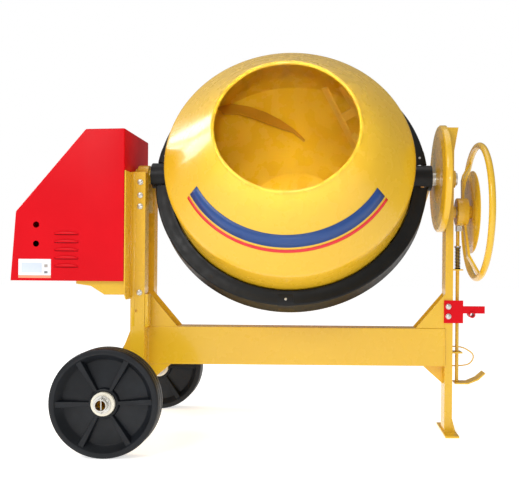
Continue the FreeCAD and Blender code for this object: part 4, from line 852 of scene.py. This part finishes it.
def makeHousing():
    print("housing")
    h = housing
    low, high = box("housing_cover")
    wall = h["wall"]
    topLeft = low.x + h["slope"]
    ridge = high.x - h["ridge"]
    outline = [(high.x, low.z), (low.x, low.z), (topLeft, h["shoulder"]), (ridge, high.z - h["crown"]),
               (high.x, high.z)]
    inside = [(high.x + 60, low.z - 60), (low.x + wall - 3, low.z - 60), (topLeft + wall, h["shoulder"]),
              (ridge + wall, high.z - h["crown"] - wall), (high.x - wall, high.z - wall),
              (high.x - wall, h["endWall"]), (high.x + 60, h["endWall"])]
    outer = prism(outline, low.y, high.y)
    folds = [e for e in outer.edges if not all(abs(v.co.z - low.z) < 1 for v in e.verts)]
    rounded(outer, h["fold"], 4, 20, folds)
    core = rounded(prism(inside, low.y + wall, high.y - wall), h["fold"] - wall, 3, 20)
    shell = carved(outer, core)
    cutter = placed(bar(h["shaftHole"], 60, 0.5, 48), along("X", (high.x - 30, 0, 993)))
    for z in h["holes"]:
        merged(cutter, placed(bar(h["holeRadius"], 20, 0.1, 36), along("Y", (h["holeX"], low.y - 10, z))))
    for i in range(h["vents"]):
        z = h["ventLow"] + h["ventPitch"] * i - 4
        merged(cutter, block((h["ventLeft"], low.y - 10, z), (h["ventRight"], low.y + 10,
                                                             z + h["ventHeight"]), 0.2))
    shell = carved(shell, cutter)
    # Each louvre is a pressed hood, closed above and open below.
    middle = (h["ventLeft"] + h["ventRight"]) / 2
    half = (h["ventRight"] - h["ventLeft"]) / 2
    for i in range(h["vents"]):
        hood = bmesh.new()
        bmesh.ops.create_uvsphere(hood, u_segments=32, v_segments=16, radius=1)
        placed(hood, Matrix.Diagonal((half + 2, 6.5, 13, 1)))
        for plane in ((0, 0, -1), (0, 1, 0)):
            bmesh.ops.bisect_plane(hood, geom=hood.verts[:] + hood.edges[:] + hood.faces[:],
                                   plane_co=(0, 0, 0), plane_no=plane, clear_outer=True)
        bmesh.ops.recalc_face_normals(hood, faces=hood.faces)
        bmesh.ops.solidify(hood, geom=hood.faces[:], thickness=1.0)
        z = h["ventLow"] + h["ventPitch"] * i - 2
        merged(shell, placed(hood, Matrix.Translation((middle, low.y + 0.3, z))))
    finish("housingShell", shell, red, ("housing_cover",), smooth=35)
    # Flanged screws hold the shell to the drive plate.
    screws = bmesh.new()
    for z in (low.z + 50, 790, 960):
        merged(screws, placed(hexBolt(10, 4, 7), along("Y", (high.x - 14, high.y, z))))
    finish("housingScrews", screws, zinc, body="frame")


def makeLabel():
    # a blank rating plate: bands of tint and two marks, with nothing to read
    low, high = box("housing_cover")
    s = label
    films = {"labelFilm": ("#F6F8FB", "#EDF1F7", (0, 1), (0, 1), 0),
             "labelTint": ("#DDE6F2", "#D3DEEC", (0.1, 0.72), (0.28, 0.8), 1),
             "labelStrip": ("#F2A583", "#EE9A76", (0, 1), (0, 0.14), 1),
             "labelMarks": ("#8E8F92", "#7C7D80", (0.8, 0.9), (0.24, 0.36), 1),
             "labelMarksHigh": ("#B9AFA8", "#A9A09A", (0.8, 0.9), (0.56, 0.72), 1)}
    width, height = s["right"] - s["left"], s["high"] - s["low"]
    for name, (ink, faded, across, up, layer) in films.items():
        front = low.y - s["film"] * (1 + layer * 0.6)
        start = (s["left"] + width * across[0], front, s["low"] + height * up[0])
        end = (s["left"] + width * across[1], low.y + 0.2, s["low"] + height * up[1])
        finish(name, block(start, end, 0.15), printedVinyl(name + "Vinyl", ink, faded), body="frame")


def makeMotor():
    print("motor")
    low, high = box("motor_body")
    fanLow, fanHigh = box("motor_fan_cover")
    radius = (fanHigh.z - fanLow.z) / 2
    z = (fanLow.z + fanHigh.z) / 2
    length = high.x - low.x
    shape = spun(eased([(12, 0), (radius - 6, 0), (radius, 6), (radius, 16), (radius - 8, 22),
                        (radius - 8, length - 22), (radius, length - 16), (radius, length - 6),
                        (radius - 6, length), (12, length)], 2), 72)
    for i in range(28):
        turn = Matrix.Rotation(math.tau * (i + 0.5) / 28, 4, "Z")
        fin = block((radius - 10, -1.5, 20), (radius - 0.5, 1.5, length - 20), 0.6)
        merged(shape, placed(fin, turn))
    placed(shape, along("X", (low.x, 0, z)))
    merged(shape, block((low.x + 40, -75, low.z), (high.x - 20, 75, low.z + 14), 3))
    merged(shape, block((low.x + 70, -50, high.z - 44), (low.x + 170, 50, high.z), 5))
    finish("motorBody", shape, grey, ("motor_body",))
    softened("motor_fan_cover", 4, 3)
    softened("motor_pulley", 1)
    softened("driven_pulley", 1)
    softened("drive_belt", 1)


hand = {"tube": 12.5, "ring": 260, "steps": 128}


def makeHandwheel():
    print("handwheel")
    low, high = box("handwheel_rim")
    centre = (low + high) / 2
    ring = [(hand["ring"] + hand["tube"] * math.cos(math.tau * i / 20),
             hand["tube"] * math.sin(math.tau * i / 20)) for i in range(20)]
    finish("handwheelRim", placed(spun(ring, hand["steps"]), along("X", centre)), yellow,
           ("handwheel_rim",), smooth=60)
    softened("handwheel_spokes", 1.6)
    low, high = box("handwheel_hub")
    length = high.x - low.x
    radius = (high.z - low.z) / 2
    start = along("X", (low.x, centre.y, centre.z))
    hub = eased([(15, 0), (radius, 0), (radius, 44), (26, 44), (26, length), (15, length)], 2.5)
    finish("handwheelHub", placed(spun(hub, 72), start), yellow, ("handwheel_hub",))
    low, high = box("handwheel_disc")
    thick = high.x - low.x
    radius = (high.z - low.z) / 2
    disc = [(15, 0), (radius - 2, 0), (radius, 1), (radius, thick - 1), (radius - 1, thick),
            (radius - 16, thick), (radius - 22, thick - 1), (62, thick - 1), (56, thick), (15, thick)]
    finish("handwheelDisc", placed(spun(disc, 96), along("X", (low.x, centre.y, centre.z))), yellow,
           ("handwheel_disc",))
    softened("handwheel_shaft", 1)
    nut = placed(hexBolt(24, 6, 20), along("X", (high.x, centre.y, centre.z)))
    finish("handwheelNut", nut, zinc, body="handwheel")
    weldRing = bmesh.new()
    for low, high in solidsOf("handwheel_spokes"):
        middle = (low + high) / 2
        away = Vector((0, middle.y - centre.y, middle.z - centre.z)).normalized()
        spot = Vector((centre.x, centre.y, centre.z)) + away * (hand["ring"] - hand["tube"] + 1)
        across = away.cross(Vector((1, 0, 0))) * 15
        merged(weldRing, weld(spot - across, spot + across, 3))
    finish("spokeWelds", weldRing, yellow, body="handwheel", smooth=80)


spring = {"wire": 3, "turns": 17, "radius": 10.4, "travel": 25}


def makeBrake():
    print("brake")
    softened("brake_pedal", 1.2)
    softened("brake_rod", 0.8)
    softened("brake_shoe", 1.5)
    softened("spring_collar", 1)
    low, high = box("brake_spring")
    centre = (low + high) / 2
    length = high.z - low.z
    points = []
    for i in range(spring["turns"] * 10 + 1):
        share = i / (spring["turns"] * 10)
        # the end turns lie flat
        rise = min(max((share - 0.08) / 0.84, 0), 1)
        turn = math.tau * spring["turns"] * share
        points.append((centre.x + spring["radius"] * math.cos(turn),
                       centre.y + spring["radius"] * math.sin(turn),
                       low.z + spring["wire"] / 2 + rise * (length - spring["wire"])))
    coil = finish("brakeSpringCoil", wire(points, spring["wire"] / 2, 8), springSteel,
                  ("brake_spring",), body="frame", smooth=80)
    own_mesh(coil)


def makeTowBracket():
    print("tow bracket")
    softened("tow_bracket", 1.6, 3)
    low = box("tow_bracket")[0]
    columnLow = box("right_column")[0]
    bead = weld((columnLow.x + 34, columnLow.y - 1, low.z + 38), (columnLow.x + 34, columnLow.y - 1,
                                                                  low.z + 66), 2.4)
    finish("towArmWeld", bead, red, body="frame", smooth=80)


def makeGears():
    for name in ("drive_pinion", "pinion_shaft", "tilt_pinion"):
        softened(name, 0.6, 1)


makeCamera()
makeStudio()
paintNodes()
makeDrum()
makeBowl()
makeDecal()
makeGuard()
makeYoke()
for name in ("front_wheel", "rear_wheel"):
    makeWheel(name)
makeAxle()
makeFrame()
makeWelds()
makeBolts()
makeHousing()
makeLabel()
makeMotor()
makeHandwheel()
makeBrake()
makeTowBracket()
makeGears()
